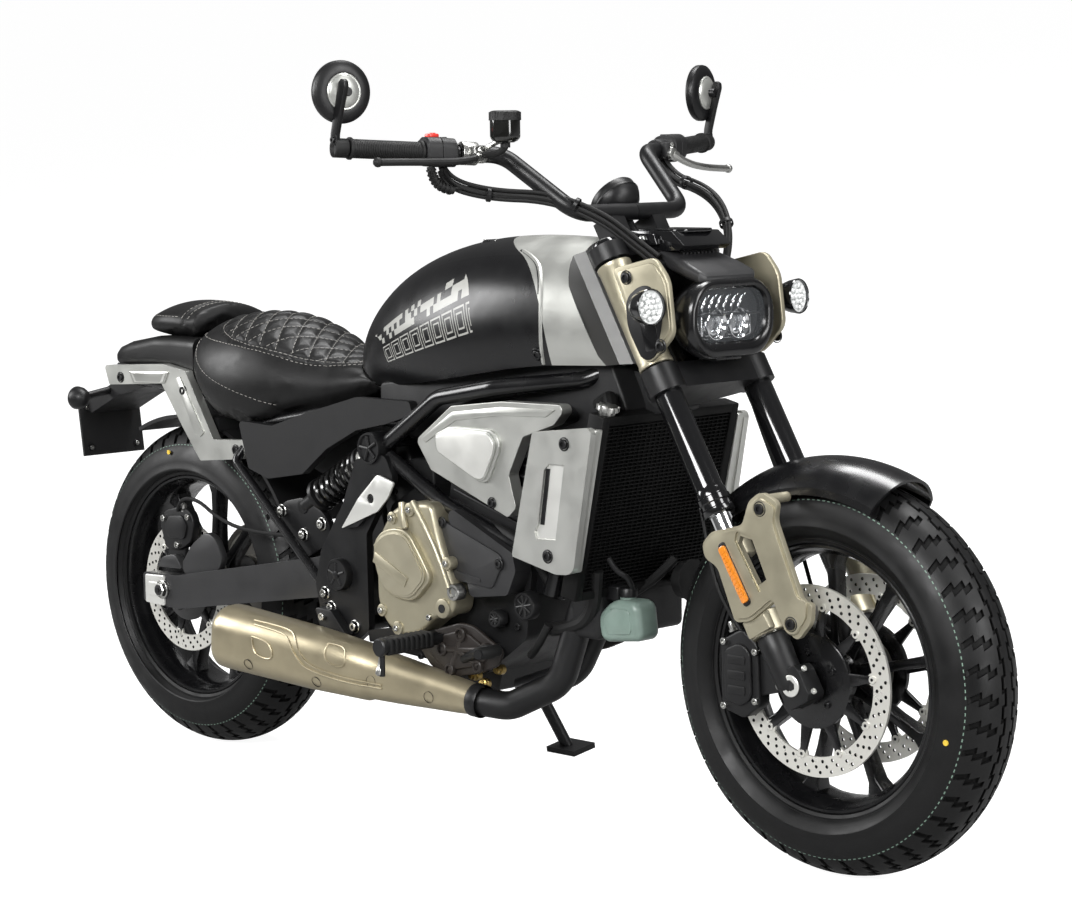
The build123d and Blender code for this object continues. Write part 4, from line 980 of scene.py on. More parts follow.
# headlamp: bezel, cover glass, two projectors and the curved light bars, drawn in the front wheel's frame
headlamp = {
    "height": 553,
    # x, half width, half height, corner, shift
    "bezel": [(-305, 58, 35, 30, -5), (-290, 72, 44, 38, -5), (-268, 88, 55, 48, -5), (-246, 99, 62, 55, -5),
              (-232, 101.5, 63.5, 57, -5), (-222, 100.5, 62.5, 56, -5), (-217.4, 96, 58, 52, -5),
              (-216.6, 91, 52, 46, -3), (-218.5, 86, 47, 41, -1), (-223, 81.5, 42.5, 36, 0),
              (-239, 80, 41, 35, 0)],
    "glass": [(-223.5, 80.8, 41.8, 35, 0), (-221.5, 74, 35, 29, 0), (-220.2, 52, 20, 15, 0)],
    # y, z and radius of each projector
    "projectors": ((-34, -14, 17.5), (20, -14, 17.5)),
    "bars": 6, "barStep": 17.5,
    # trim round the projectors: y, z
    "trim": [(-66, -34), (-66, 2), (-58, 4), (48, 4), (52, -2), (52, -32), (40, -36), (-58, -36)],
}
middle = headlamp["height"]
bm = bmesh.new()
addLoft(bm, headlamp["bezel"], middle, capEnd=False, segments=14)
addPlate(bm, [(-330, 530), (-330, 566), (-285, 566), (-285, 530)], -126, 126, edge=3)
for sign in (-1, 1):
    addBolt(bm, (-306, sign * 122, 548), (0, sign, 0), 7, 5)
addBox(bm, (-248, 0, 486), (40, 60, 10), 2)
addBox(bm, (-324, 0, 604), (28, 178, 74), 6, segments=3)
addPiece("headlampBezel", bm, frontWheel, ["frameBlack"], "headlamp_body", smooth=64)

bm = bmesh.new()
addPlate(bm, [(-239.5, middle - 33), (-237.5, middle - 33), (-237.5, middle + 4), (-239.5, middle + 4)],
         -66, 48)
addLoft(bm, [(-241, 81, 42, 36, 0), (-238.5, 81, 42, 36, 0)], middle, mat=1)
for y, z, radius in headlamp["projectors"]:
    bowl = [(radius + 7, 14), (radius + 6, 14.4), (radius + 1, 8), (radius, 0)]
    dome = [(0, 13.5), (6, 12.9), (11, 10.8), (radius - 3, 6.5), (radius - 0.5, 0.5)]
    ring = [(radius - 0.5, 1), (radius - 0.5, 7), (radius - 3.5, 7.5)]
    for profile, mat in ((bowl, 0), (dome, 2), (ring, 0)):
        addTurned(bm, profile, (-238, y, middle + z), toFront, 48, mat)
for index in range(headlamp["bars"]):
    y = -52 + index * headlamp["barStep"]
    reach = 25 - abs(index - 2.5) * 1.2
    points = [(-236, y - 7, middle + 6), (-231, y - 9, middle + 16), (-231, y - 3, middle + reach),
              (-234, y + 8, middle + 33)]
    addTube(bm, points, 1.3, ring=12)
    addTube(bm, [(-238, p[1] + 4, p[2] - 1) for p in points], 2.6, ring=8)
trim = headlamp["trim"]
for (y0, z0), (y1, z1) in zip(trim, trim[1:] + trim[:1]):
    addRod(bm, (-231, y0, middle + z0), (-231, y1, middle + z1), 1.6, segments=10)
addPlate(bm, [(-240, middle - 1), (-226, middle - 1), (-226, middle + 2), (-240, middle + 2)],
         -72, 72, edge=0.6, mat=1)
for y in (-64, 52):
    addBox(bm, (-234, y, middle - 16), (10, 3, 32), 0.8)
addPiece("headlampInside", bm, frontWheel, ["reflectorSilver", "satinBlack", "clearLens", "lampWhite"],
         "headlamp_lens", stands=False)
bm = bmesh.new()
addLoft(bm, headlamp["glass"], middle, capStart=False)
addPiece("headlampGlass", bm, frontWheel, ["clearLens"], "headlamp_lens")
print("headlamp made")

# front signals
signals = {"face": Vector((-231, -179, 574)), "axis": Vector((0.99, -0.12, 0.06))}
bm = bmesh.new()
bell = [(0, -43.5), (8, -43), (16, -38), (22.5, -29), (26.6, -17), (28.6, -6), (29.2, -1.5), (28.2, 0.6),
        (26.4, -0.8), (26.2, -7)]
for profile, steps, mat in ((bell, 56, 0), ([(26.2, -5), (15, -9), (0, -10)], 40, 3),
                            ([(26.6, -1), (22, 3.4), (13, 6.6), (0, 7.8)], 40, 2)):
    addTurned(bm, profile, signals["face"], signals["axis"], steps, mat)
lensTurn = signals["axis"].to_track_quat("X", "Z").to_matrix()
for reach, count in ((0, 1), (9.5, 6), (18.5, 11)):
    for y, z in around(count, reach):
        spot = signals["face"] + lensTurn @ Vector((-1.5 - reach * 0.12, y, z))
        addTurned(bm, [(4.6, -2), (3.8, 1.6), (2, 3), (0, 3.4)], spot, signals["axis"], 6, 3)
addRod(bm, (-273, -128, 569), (-252, -160, 572), 10.5, 9.5, edge=1.5)
addTurned(bm, [(14, 0), (14, 6), (11, 10), (10, 10)], (-279, -128, 569), (0.55, -0.83, 0.1), 32)
mirrorAll(bm)
addPiece("frontSignalLamps", bm, frontWheel, ["gloss", "reflectorSilver", "clearLens", "lampWhite"],
         "front_signals", smooth=30)

# cowl over the headlamp: sloping shell, ribs, cover box with its plate
cowl = {
    # x, half width, half height, corner, height
    "rows": [(-225, 58, 5, 4, 611), (-233, 68, 10, 8, 614), (-262, 67, 13, 10, 624), (-300, 61, 14, 10, 637),
             (-340, 55, 12, 9, 653), (-366, 50, 8, 6, 665), (-382, 46, 4, 3, 669)],
    "ribs": 9, "ribStep": 9.0, "ribFrom": (-292, 650.1), "ribTo": (-356, 674.1),
}
bm = bmesh.new()
addLoft(bm, cowl["rows"], segments=5)
(x0, z0), (x1, z1) = cowl["ribFrom"], cowl["ribTo"]
for index in range(cowl["ribs"]):
    y = (index - (cowl["ribs"] - 1) / 2) * cowl["ribStep"]
    addRod(bm, (x0, y, z0), (x1, y * 0.86, z1), 2.2, segments=10)
addPlate(bm, [(-388, 686), (-300, 686), (-272, 664), (-284, 656), (-355, 652)], -57, 57, corner=2, edge=4,
         mat=1, segments=3)
addPlate(bm, [(-385, -46), (-385, 46), (-304, 46), (-290, 30), (-290, -30), (-304, -46)], 684, 689, corner=6,
         edge=1.4, mat=1, place=upright)
for sign in (-1, 1):
    addPlate(bm, [(-378, 664), (-378, 682), (-330, 682), (-322, 664)], 56, 66, corner=3, edge=2, mat=1,
             place=Matrix.Diagonal((1, sign, 1, 1)))
    addTurned(bm, [(0, 0), (7, 0), (7, 5), (5, 6), (0, 6)], (-352, sign * 65, 673), (0, sign, 0), 6, 2)
addPiece("headlampCowlShell", bm, frontWheel, ["darkGrey", "gloss", "zinc"], "headlamp_cowl", smooth=38)

# gauge with a domed back, its glass and a rim
gauge = {"place": (-473, 0, 732), "axis": (-0.75, 0, 0.66)}
bm = bmesh.new()
dome = [(0, -31), (14, -30), (25, -26), (35, -18), (41, -8), (42.6, 0), (42.6, 11), (41, 13.2), (37.5, 13),
        (36.5, 9)]
for profile, steps, mat in ((dome, 72, 0), ([(36.6, 9.4), (0, 9.4)], 56, 1),
                            ([(43, -3), (43.6, -1), (43, 1)], 56, 0)):
    addTurned(bm, profile, gauge["place"], gauge["axis"], steps, mat)
addRod(bm, (-458, 0, 716), (-424, 0, 668), 8, segments=24)
addPiece("gaugeDome", bm, frontWheel, ["satinBlack", "smokedGlass"], "gauge_pod", smooth=50)

# fork: collars, chrome stanchions, cast feet, drawn in its own frame
forkParts = {
    "lead": -11, "track": 108,
    "tube": [(19, 293), (25.5, 293), (26.8, 295), (26.8, 303), (25, 305), (25, 312), (27.2, 314), (27.2, 322),
             (25.6, 324), (25.6, 331), (23.6, 335), (22.9, 340), (22.9, 772), (20, 778), (14, 779.5),
             (0, 779.5)],
    "leg": [(0, -10), (14, -10), (20, -4), (23.6, 6), (23.8, 50), (24.6, 56), (24.6, 80), (23, 86),
            (19.2, 88)],
    "foot": [(-26, -30), (-20, -33), (18, -33), (25, -26), (25, 14), (20, 26), (-26, 26)],
}
forkFeet = [(sign, (forkParts["lead"], sign * forkParts["track"], 0)) for sign in (-1, 1)]
bm = bmesh.new()
for sign, foot in forkFeet:
    addTurned(bm, forkParts["tube"], foot, toTop, 64, 0)
    addTurned(bm, [(11, 779), (11, 782), (9, 783), (0, 783)], foot, toTop, 6, 1)
addPiece("forkTubesBlack", bm, fork, ["gloss", "zinc"], "fork_tubes")
bm = bmesh.new()
for sign, foot in forkFeet:
    addTurned(bm, [(18.4, 80), (18.4, 293)], foot, toTop, 64, 1)
    addTurned(bm, forkParts["leg"], foot, toTop, 64, 0)
    addPlate(bm, forkParts["foot"], sign * 106 - 19, sign * 106 + 19, corner=5, edge=1.8, segments=3)
    addTurned(bm, [(0, 0), (16, 0), (17, 1.2), (17, 2.6), (15.6, 3.6), (9.5, 3.6), (9.5, 1), (0, 1)],
              (0, sign * 125, 0), (0, sign, 0), 40, 2)
    addTurned(bm, [(0, -0.2), (8, -0.2), (8, 2.2), (0, 2.4)], (0, sign * 125, 0), (0, sign, 0), 6, 0)
    for s in (-22, 16):
        addBolt(bm, (25, sign * 112, s), toFront, 4.5, 3.5, mat=2)
    addRod(bm, (0, sign * 79.2, 0), (0, sign * 88, 0), 17, segments=40, edge=1)
addRod(bm, (0, -90, 0), (0, 90, 0), 9.9, segments=32)
addPiece("forkLegsCast", bm, fork, ["castBlack", "chrome", "brightPlate"], "fork_legs")

# fork shrouds with their ears, bolts and a dark plate of painted shade in the hollow of each ear
ear = {"outline": [(8, 722), (96, 694), (104, 650), (70, 570), (20, 556), (-4, 556)],
       "hollowShade": [(-6, 562), (24, 556), (50, 584), (74, 612), (74, 652), (52, 670), (12, 666), (-8, 624)],
       "slot": [(8, 572), (26, 566), (44, 586), (52, 610), (20, 618)],
       "skin": [(27.5, 553), (28.6, 554), (28.6, 560), (27.5, 562), (27.5, 728), (28.6, 730), (28.6, 736),
                (27.5, 737), (24, 737), (24, 553)]}
bm = bmesh.new()
addTurned(bm, ear["skin"], (-11, -108, 0), toTop, 56, 0, closed=True)
addPlate(bm, ear["outline"], -138, -128, corner=24, edge=4.5, segments=4)
addPlate(bm, scaled(ear["outline"], 0.90, (52, 636)), -140, -134, corner=22, edge=2.6, segments=3)
addBox(bm, (14, -122, 640), (30, 16, 150), 5)
# dark plate over the ear's hollow: painted shade
addPlate(bm, ear["hollowShade"], -141.2, -136.5, corner=20, edge=1.2, mat=1, segments=3)
addPlate(bm, ear["slot"], -142, -138, corner=5, edge=0.8, mat=2)
for n, s in ((30, 694), (40, 566)):
    addTurned(bm, [(11.5, 0), (11.5, 1.2), (10, 2)], (n, -140, s), toRight, 32, 1)
    addBolt(bm, (n, -140.2, s), toRight, 8.4, 4.2, mat=1)
mirrorAll(bm)
addPiece("forkEarCovers", bm, fork, ["bronze", "satinBlack", "gloss"], "fork_shrouds", smooth=40)
print("fork made")

# bars: grips, switch housings, levers, reservoir
bars = {
    "end": (-661, -434, 825), "bend": (-564, -170, 810), "ribs": 38, "ribStep": 2.95,
    # levers: distance from the end of the bar, drop, ahead
    "leverRight": ((218, -6, 30), (186, -14, 44), (120, -18, 52), (60, -20, 55), (22, -22, 57)),
    "leverLeft": ((218, -6, 30), (186, -24, 46), (120, -36, 54), (60, -42, 58), (10, -46, 60)),
}
barEnd = Vector(bars["end"])
gripAxis = (Vector(bars["bend"]) - barEnd).normalized()


def barPoint(distance, drop=0.0, ahead=0.0):
    return barEnd + gripAxis * distance + Vector((ahead, 0, drop))


def addGripSide(bm, lever, isRight):
    # finishes: rubber, housing, switch, zinc
    leverMat, perchMat = (0, 3) if isRight else (3, 1)
    lever = [barPoint(*row) for row in lever]
    rings = [(15.5, 18.5)]
    for index in range(bars["ribs"]):
        d = 21 + index * bars["ribStep"]
        rings += [(15.3, d), (15.3, d + 1.9), (14.6, d + 2.2), (14.6, d + 2.7)]
    ends = [(10.5, -8), (14.5, -13), (15.5, -12), (15.5, 9), (14.5, 10.5), (11, 10.5), (11, 12), (17.5, 12.5),
            (18, 13.5), (18, 17), (17, 18)]
    addTurned(bm, ends + rings + [(15.4, 134), (18, 135), (18, 139), (11, 139)], barEnd, gripAxis, 40)
    # switch housing, split line and rocker
    sideways = gripAxis.cross(Vector(toTop)).normalized()
    turn = Matrix((gripAxis, sideways, Vector(toTop))).transposed().to_4x4()
    addLoft(bm, [(141, 20, 21, 14, 0), (144, 23.5, 23.5, 17, 0), (166, 24, 24, 17, 0),
                 (167, 22.8, 22.8, 16, 0), (168, 24, 24, 17, 0), (192, 23, 23, 16, 0), (196, 18, 18, 13, 0)],
            mat=1, place=Matrix.Translation(barEnd) @ turn)
    if isRight:
        top = barPoint(160, 24, -4)
        addBox(bm, top + Vector((0, 0, 2)), (15, 20, 7), 2.4, mat=2)
        addBox(bm, top + Vector((0, 1, 5.4)), (8, 9, 3), 1.2, mat=2)
    addBox(bm, barPoint(180, 23, -6), (13, 10, 4), 1.5, mat=1)
    addBox(bm, barPoint(172, 2, -24), (6, 16, 12), 1.5, mat=1)
    # perch clamp and lever
    addTurned(bm, [(11.5, 206), (18, 206), (19, 207.5), (19, 232.5), (18, 234), (11.5, 234)], barEnd,
              gripAxis, 36, perchMat, closed=True)
    addBox(bm, barPoint(220, 0, 22), (16, 26, 26), 4, mat=perchMat)
    for lift in (9, -9):
        addBolt(bm, barPoint(220, lift, 30), toFront, 4, 3.5, mat=3)
    addRod(bm, barPoint(220, -6, 6), barPoint(220, -6, 36), 10, edge=1.5, mat=3)
    addTurned(bm, [(0, 0), (5.5, 0), (5.5, 4), (0, 4)], barPoint(218, 4, 28), toTop, 6, 3)
    addTube(bm, lever, 6.2, mat=leverMat)
    addTube(bm, [lever[0], lever[0].lerp(lever[1], 0.35)], 8.5, mat=3)
    addTurned(bm, [(0, -8), (4, -7), (7.2, -3.6), (8, 0), (7.2, 3.6), (4, 7), (0, 8)], lever[-1], gripAxis,
              24, leverMat)


bm = bmesh.new()
addGripSide(bm, bars["leverRight"], True)
# fluid reservoir with its ribbed cap
base = Vector((-501, -226, 828))
addTurned(bm, [(0, 2), (14, 2), (20, 5), (23.5, 9), (24.2, 12), (24.2, 38), (22, 38)], base, toTop, 48, 4)
addTurned(bm, [(0, 53), (18, 53), (22.5, 52), (25, 50), (25.4, 47), (25.4, 41), (26, 39.5), (26, 37.5),
               (23.5, 37)],
          base, toTop)
for x, y in around(30, 25):
    addRod(bm, base + Vector((x, y, 40)), base + Vector((x, y, 50.5)), 0.9, segments=6)
addTurned(bm, [(8, -6), (8, 3), (5, 4)], base, toTop, 24)
addTube(bm, [base + Vector((0, 0, -4)), base + Vector((-8, -4, -20)), barPoint(222, -2, 22)], 5.5)
addTube(bm, [base + Vector((4, 0, 2)), (-512, -214, 842), barPoint(226, 0, 14)], 4, mat=3)
addPiece("rightBarControls", bm, frontWheel,
         ["rubberBlack", "plasticBlack", "switchRed", "zinc", "smokedGlass"], "bar_controls")
bm = bmesh.new()
addGripSide(bm, bars["leverLeft"], False)
addBox(bm, barPoint(156, 12, -24), (8, 14, 9), 2, mat=2)
bmesh.ops.scale(bm, vec=(1, -1, 1), verts=bm.verts)
bmesh.ops.reverse_faces(bm, faces=bm.faces)
addPiece("leftBarControls", bm, frontWheel,
         ["rubberBlack", "plasticBlack", "satinBlack", "zinc", "smokedGlass"], "bar_controls")

# mirrors: dish, domed back, glass and boss on a bent arm
mirrorParts = {
    "centre": (-665, -428, 913), "turn": math.radians(15),
    "dish": [(0, -4.6), (45.2, -4.6), (45.6, -5.8), (48.4, -5.6), (49.8, -3.2), (50, 3.5), (49.2, 6.5),
             (46, 9), (39, 11.2), (31.5, 12.4), (29.8, 12)],
    "back": [(29.8, 11.4), (29.4, 13.6), (27.6, 15), (25.8, 14.6), (24.5, 15.6), (16, 18.2), (8, 19.3),
             (0, 19.5)],
    "arm": [(-669, 829), (-655, 829), (-654, 846), (-643, 884), (-631, 921), (-632, 930), (-640, 934),
            (-647, 928), (-657, 890), (-668, 848)],
}
bm = bmesh.new()
faceAxis = (math.cos(mirrorParts["turn"]), -math.sin(mirrorParts["turn"]), 0)
for profile, steps, mat in ((mirrorParts["dish"], 72, 0), (mirrorParts["back"], 64, 1),
                            ([(0, -4.9), (44.8, -4.9)], 72, 2),
                            ([(7.5, 16), (7.5, 27), (6.5, 29), (0, 29)], 32, 0)):
    addTurned(bm, profile, mirrorParts["centre"], faceAxis, steps, mat)
addPlate(bm, mirrorParts["arm"], -449, -439.5, corner=2.5, edge=1.6, segments=3)
addBolt(bm, (-661.5, -449, 838), toRight, 5, 2.5)
mirrorAll(bm)
addPiece("mirrorHeads", bm, frontWheel, ["satinBlack", "silverPaint", "reflectorSilver"], "mirrors")
print("bars and mirrors made")

# clutch cover: stepped casting with the teardrop face
clutch = {
    "body": [(684, 520), (723, 538), (786, 541), (802, 487), (840, 392), (834, 354), (795, 346), (748, 313),
             (700, 304), (666, 322), (646, 360), (644, 462)],
    "drop": [(657, 476), (695, 494), (738, 492), (768, 453), (796, 413), (750, 369), (694, 373), (664, 396),
             (648, 442)],
    "bar": [(662, 449), (744, 411), (735, 394), (656, 431)],
    "bosses": [(814, 364, 17, -176), (700, 318, 12, -176), (660, 345, 11, -175), (736, 526, 12, -176),
               (690, 508, 11, -175), (826, 442, 11, -176)],
    "bolts": [(660, 345, -175), (700, 318, -176), (736, 526, -176), (690, 508, -175), (826, 442, -176),
              (780, 345, -173)],
}
bm = bmesh.new()
addPlate(bm, clutch["body"], -172, -118, corner=14, edge=9, segments=5)
addPlate(bm, clutch["drop"], -183, -166, corner=20, edge=5, segments=4)
for share, low, high, corner, edge in ((0.90, -186, -176, 17, 1.2), (0.84, -187.6, -180, 15, 1.6)):
    addPlate(bm, scaled(clutch["drop"], share, (716, 430)), low, high, corner=corner, edge=edge)
addPlate(bm, clutch["bar"], -189.4, -184, edge=1)
for x, z, radius, y in clutch["bosses"]:
    addRod(bm, (x, -150, z), (x, y, z), radius, segments=32, edge=2)
addTube(bm, [(742, -172, 540), (776, -174, 500), (812, -173, 440), (828, -172, 400)], 6)
addTube(bm, [(716, -172, 536), (722, -178, 515), (726, -176, 495)], 7)
for x, z, y in clutch["bolts"]:
    addBolt(bm, (x, y, z), toRight, 5.5, 4, mat=1)
addTurned(bm, [(0, 5), (6, 5), (7, 3), (9, 3), (10, 7), (13.5, 7), (14.5, 5), (14.5, -12)], (840, -168, 394),
          toRight, 36, 2)
addTurned(bm, [(7.5, 0), (7.5, 1.2), (0, 1.2)], (814, -176, 364), toRight, 24, 3)
addPiece("clutchCoverCast", bm, machine, ["bronze", "zinc", "zinc", "castBlack"], "clutch_cover", smooth=38)

# side cover, caps, hoses and fittings on the engine's right, fins on both sides
engine = {
    "cover": [(786, 516), (938, 466), (945, 452), (918, 406), (835, 412), (806, 434), (790, 470)],
    "caseBolts": ((640, 290), (700, 262), (760, 250), (830, 256), (890, 300), (940, 340), (640, 545),
                  (700, 556)),
    "fins": 9, "ribs": 10, "washer": [(10, 0), (10, 1.5), (8.5, 2.5), (8.5, -1)],
}
bm = bmesh.new()
addPlate(bm, engine["cover"], -159, -150, corner=9, edge=2.2, segments=3)
addPlate(bm, [(800, 436), (892, 420), (892, 414), (800, 430)], -160.2, -157, edge=0.6)
addBolts(bm, ((936, 450), (800, 508)), -158.5, 7, 4, 1, engine["washer"])
# filter caps with their crosses, water hoses and fittings
for x, z, radius, y in ((974, 381, 24, -138), (906, 352, 15, -140)):
    addTurned(bm, [(radius, 18), (radius, 34), (radius - 2, 37), (radius - 5, 37), (radius - 6, 35), (0, 35)],
              (x, y + 34, z), toRight, 40, 1)
    for turn in range(4):
        addStar(bm, (x, y - 1.6, z), 1, 45 * turn + 12, radius - 6, 2.2, 1, across=True)
addTube(bm, [(880, -120, 505), (930, -132, 500), (985, -128, 470), (1010, -112, 420)], 9, mat=2)
addTube(bm, [(950, -100, 290), (985, -118, 310), (1008, -116, 350)], 7, mat=2)
for spot, axis in (((866, -128, 236), (0.3, -1, 0.3)), ((896, -122, 262), (0.2, -1, 0.1)),
                   ((842, -126, 246), toRight)):
    addTurned(bm, [(0, 14), (4, 14), (4, 10), (7, 9), (7, 3), (9, 2), (9, -8)], spot, axis, 12, 3)
addBolts(bm, engine["caseBolts"], -118, 6, 5, 1)
# cylinder fins and head bolts seen past the covers
for index in range(engine["fins"]):
    share = index / (engine["fins"] - 1)
    xa, za, xb, zb = 782 + 24 * share, 520 + 150 * share, 962 + 34 * share, 462 + 160 * share
    for low, high in ((-119, -108), (108, 119)):
        addPlate(bm, [(xa, za), (xb, zb), (xb, zb + 4), (xa, za + 4)], low, high, edge=0.8, mat=1)
for y in (-92, -46, 0, 46, 92):
    addBolt(bm, (1000, y, 655), (0.98, 0, -0.1), 7, 6, mat=1)
for index in range(engine["ribs"]):
    addBox(bm, (955 + index * 4.6, 0, 470 + index * 17), (14, 216, 4), 0.8, mat=1)
addPiece("engineRelief", bm, machine, ["darkGrey", "castBlack", "rubberBlack", "brass"], "engine_block",
         stands=False, smooth=36)

# airbox panels: bright inset plate in a raised frame
airbox = {"inset": [(786, 652), (819, 667), (912, 667), (928, 651), (925, 635), (901, 589), (883, 588),
                    (790, 629)],
          "rail": [(740, 646), (818, 696), (935, 711), (1062, 713), (1040, 700), (930, 696), (826, 682),
                   (752, 640)]}
bm = bmesh.new()
addPlate(bm, scaled(airbox["inset"], 1.13, (860, 630)), -153.5, -146, corner=10, edge=2.6, segments=3)
addPlate(bm, scaled(airbox["inset"], 1.04, (860, 630)), -157.2, -150, corner=7, edge=1.4)
addPlate(bm, airbox["inset"], -159.5, -152, corner=7, edge=1.8, segments=3, mat=1)
addBolts(bm, ((911, 549),), -148, 7, 4, 2, engine["washer"])
addPlate(bm, airbox["rail"], -150, -146, edge=1.6)
mirrorAll(bm)
addPiece("airboxInsets", bm, machine, ["silverPaint", "brightPlate", "satinBlack"], "airbox_covers",
         stands=False)

# radiator: frame, flat tubes and fins, cap and hoses
radiator = {"place": (1134, 0, 560), "lean": 13.0, "tubes": 44, "tubeSpan": 272, "rows": 26, "rowSpan": 286}
bm = bmesh.new()
part = bmesh.new()
addBox(part, (0, 0, 0), (18, 300, 280), mat=1)
for y in (-156, 156):
    addBox(part, (0, y, 0), (34, 18, 312), 3)
for z in (-148, 148):
    addBox(part, (0, 0, z), (34, 300, 16), 3)
for index in range(radiator["tubes"]):
    addBox(part, (12.5, 0, (index / (radiator["tubes"] - 1) - 0.5) * radiator["tubeSpan"]), (3, 296, 1.6))
for index in range(radiator["rows"]):
    addBox(part, (11.2, (index / (radiator["rows"] - 1) - 0.5) * radiator["rowSpan"], 0), (3, 1.2, 274))
addTurned(part, [(0, 16), (13, 16), (17, 14), (18, 10), (18, 6), (14, 5), (13, -6)], (0, -140, 156), toTop,
          32, 2)
for x, y in around(8, 17):
    addRod(part, (x, y - 140, 162), (x, y - 140, 171), 2, segments=8, mat=2)
addTube(part, [(0, -128, 160), (-14, -120, 172), (-36, -100, 172), (-60, -96, 150)], 12, mat=3)
addTube(part, [(0, 128, -150), (-20, 124, -166), (-60, 118, -170)], 14, mat=3)
lean = Matrix.Rotation(math.radians(radiator["lean"]), 4, "Y")
joinPart(bm, part, Matrix.Translation(radiator["place"]) @ lean)
for y in (50, -50):
    addBox(bm, (1070, y, 560), (100, 12, 24), 2)
addPiece("radiatorCore", bm, machine, ["coreBlackGrooveShade", "coreBlackGrooveShade", "zinc", "coreBlackGrooveShade"], "radiator")

# coolant bottle with its cap, strap and hose
bottle = {"outline": [(1098, 372), (1136, 404), (1192, 404), (1200, 340), (1110, 330)],
          "neck": (1150, -74, 402),
          "hose": [(1160, -74, 416), (1164, -84, 440), (1150, -104, 452), (1142, -112, 474)]}
bm = bmesh.new()
addPlate(bm, bottle["outline"], -100, -48, corner=15, edge=12, segments=5)
addPlate(bm, scaled(bottle["outline"], 0.62, (1150, 368)), -101.4, -98, corner=9, edge=1.2)
for z in (350, 388):
    addBox(bm, (1150, -100.4, z), (34, 1.6, 1.8), 0.5)
addTurned(bm, [(13, -6), (13, 6), (0, 6)], bottle["neck"], toTop, 32)
addTurned(bm, [(14, 5), (15.5, 6), (15.5, 18), (14, 20), (0, 20)], bottle["neck"], toTop, 12, 1)
addTube(bm, bottle["hose"], 5, ring=12, mat=1)
addBox(bm, (1121, -74, 411), (37, 26, 26), 4, mat=1)
addPiece("coolantBottleBody", bm, machine, ["bottleGreen", "satinBlack"], "coolant_bottle", smooth=46)

shroud = {
    "outline": [(1051, 680), (1176, 694), (1183, 686), (1140, 462), (1128, 454), (1100, 452), (1000, 473)],
    "lip": [(1150, 690), (1183, 690), (1133, 456), (1100, 456)],
    "window": [(1057, 506), (1053, 518), (1062, 531), (1077, 620), (1087, 631), (1122, 631), (1101, 508)],
    "slit": [(1063, 530), (1072, 530), (1087, 622), (1078, 622)],
    "bolts": [(1123, 665), (1083, 480)],
}
bm = bmesh.new()
addPlate(bm, shroud["outline"], -192, -180, corner=8, edge=2.6, segments=3, cuts=(shroud["window"],))
addPlate(bm, shroud["window"], -187.2, -181, mat=1)
addPlate(bm, shroud["slit"], -188, -186, mat=2)
addPlate(bm, shroud["lip"], -181, -164.5, corner=3, edge=1.5, mat=3)
addBolts(bm, shroud["bolts"], -192, 8, 4.2, 2, [(11.5, 0), (11.5, 0.8), (9.5, 1.6), (9.5, -1)], 32)
mirrorAll(bm)
addPiece("radiatorShroudPanels", bm, machine, ["silverPaint", "brightPlate", "satinBlack", "silverPaint"],
         "radiator_shrouds", smooth=36)
print("engine side made")

# pivot plates: bright inset, crossed cap, bolts
pivot = {"inset": [(641, 578), (684, 567), (668, 540), (641, 514), (545, 476), (590, 532)],
         "hole": (623, 535), "cap": [(29, -2), (29, 11), (27, 14.5), (23, 14.5), (21.5, 12), (0, 12)],
         "capPlace": (533, 393), "bolts": ((488, 355), (505, 331), (566, 303))}
bm = bmesh.new()
(x, z), (capX, capZ) = pivot["hole"], pivot["capPlace"]
addPlate(bm, pivot["inset"], -162, -158, corner=5, edge=1, mat=1, holes=((x, z, 8.5),))
addTurned(bm, [(8.6, -1.5), (0, -1.5)], (x, -160, z), toRight, 24)
addBolt(bm, (x, -159.4, z), toRight, 5.5, 1.6)
addTurned(bm, pivot["cap"], (capX, -152, capZ), toRight)
addStar(bm, (capX, -164.5, capZ), 5, 18, 21, 3.2)
addRod(bm, (capX, -168.2, capZ), (capX, -160, capZ), 7, segments=24, edge=1)
addBolts(bm, pivot["bolts"], -152, 7.5, 5, 2, [(12, -1), (12, 2), (10.5, 3)], lift=2.5)
mirrorAll(bm)
addPiece("pivotDetails", bm, machine, ["satinBlack", "brightPlate", "zinc"], "pivot_plates", stands=False)

# rear suspension: coil spring, silver body, crossed cap, link plate
shock = {
    "top": Vector((600, -112, 612)), "foot": Vector((397, -112, 500)),
    "turns": 7.5, "coilSteps": 12, "coilRadius": 26.0, "coilStart": 52, "coilLength": 128, "wire": 5.2,
    "body": [(12, 8), (20, 12), (22, 18), (22, 40), (25, 42), (25, 49), (20, 52), (20, 58), (24, 60),
             (24, 66), (17, 70), (17, 96), (14, 100)],
    "link": [(330, 490), (346, 505), (397, 516), (452, 492), (470, 468), (462, 436), (400, 404), (368, 424)],
    "linkBolts": ((340, 487), (449, 472), (398, 448)),
}
top, foot, over = shock["top"], shock["foot"], Vector((0, 1, 0))
axis = (foot - top).normalized()
side = axis.cross(over).normalized()
bm = bmesh.new()
for profile, steps, mat in (
        (shock["body"], 48, 1), ([(7, 90), (7, 190)], 24, 3),
        ([(16, 178), (30, 180), (31, 183), (31, 188), (16, 190), (15, 232)], 48, 0),
        ([(25, 44), (30, 45), (31, 47), (31, 51), (25, 53)], 48, 0)):
    addTurned(bm, profile, top, axis, steps, mat)
helix = []
helixCount = int(shock["turns"] * shock["coilSteps"])
for index in range(helixCount + 1):
    angle = 2 * math.pi * index / shock["coilSteps"]
    run = shock["coilStart"] + shock["coilLength"] * index / helixCount
    helix.append(top + axis * run + (side * math.cos(angle) + over * math.sin(angle)) * shock["coilRadius"])
addTube(bm, helix, shock["wire"], ring=12, mat=2)
addTurned(bm, [(0, 13), (22, 13), (24, 16), (27, 16), (28, 12), (28, -26)], (612, -140, 621), toRight, 44)
addStar(bm, (612, -154, 621), 5, 30, 22, 3)
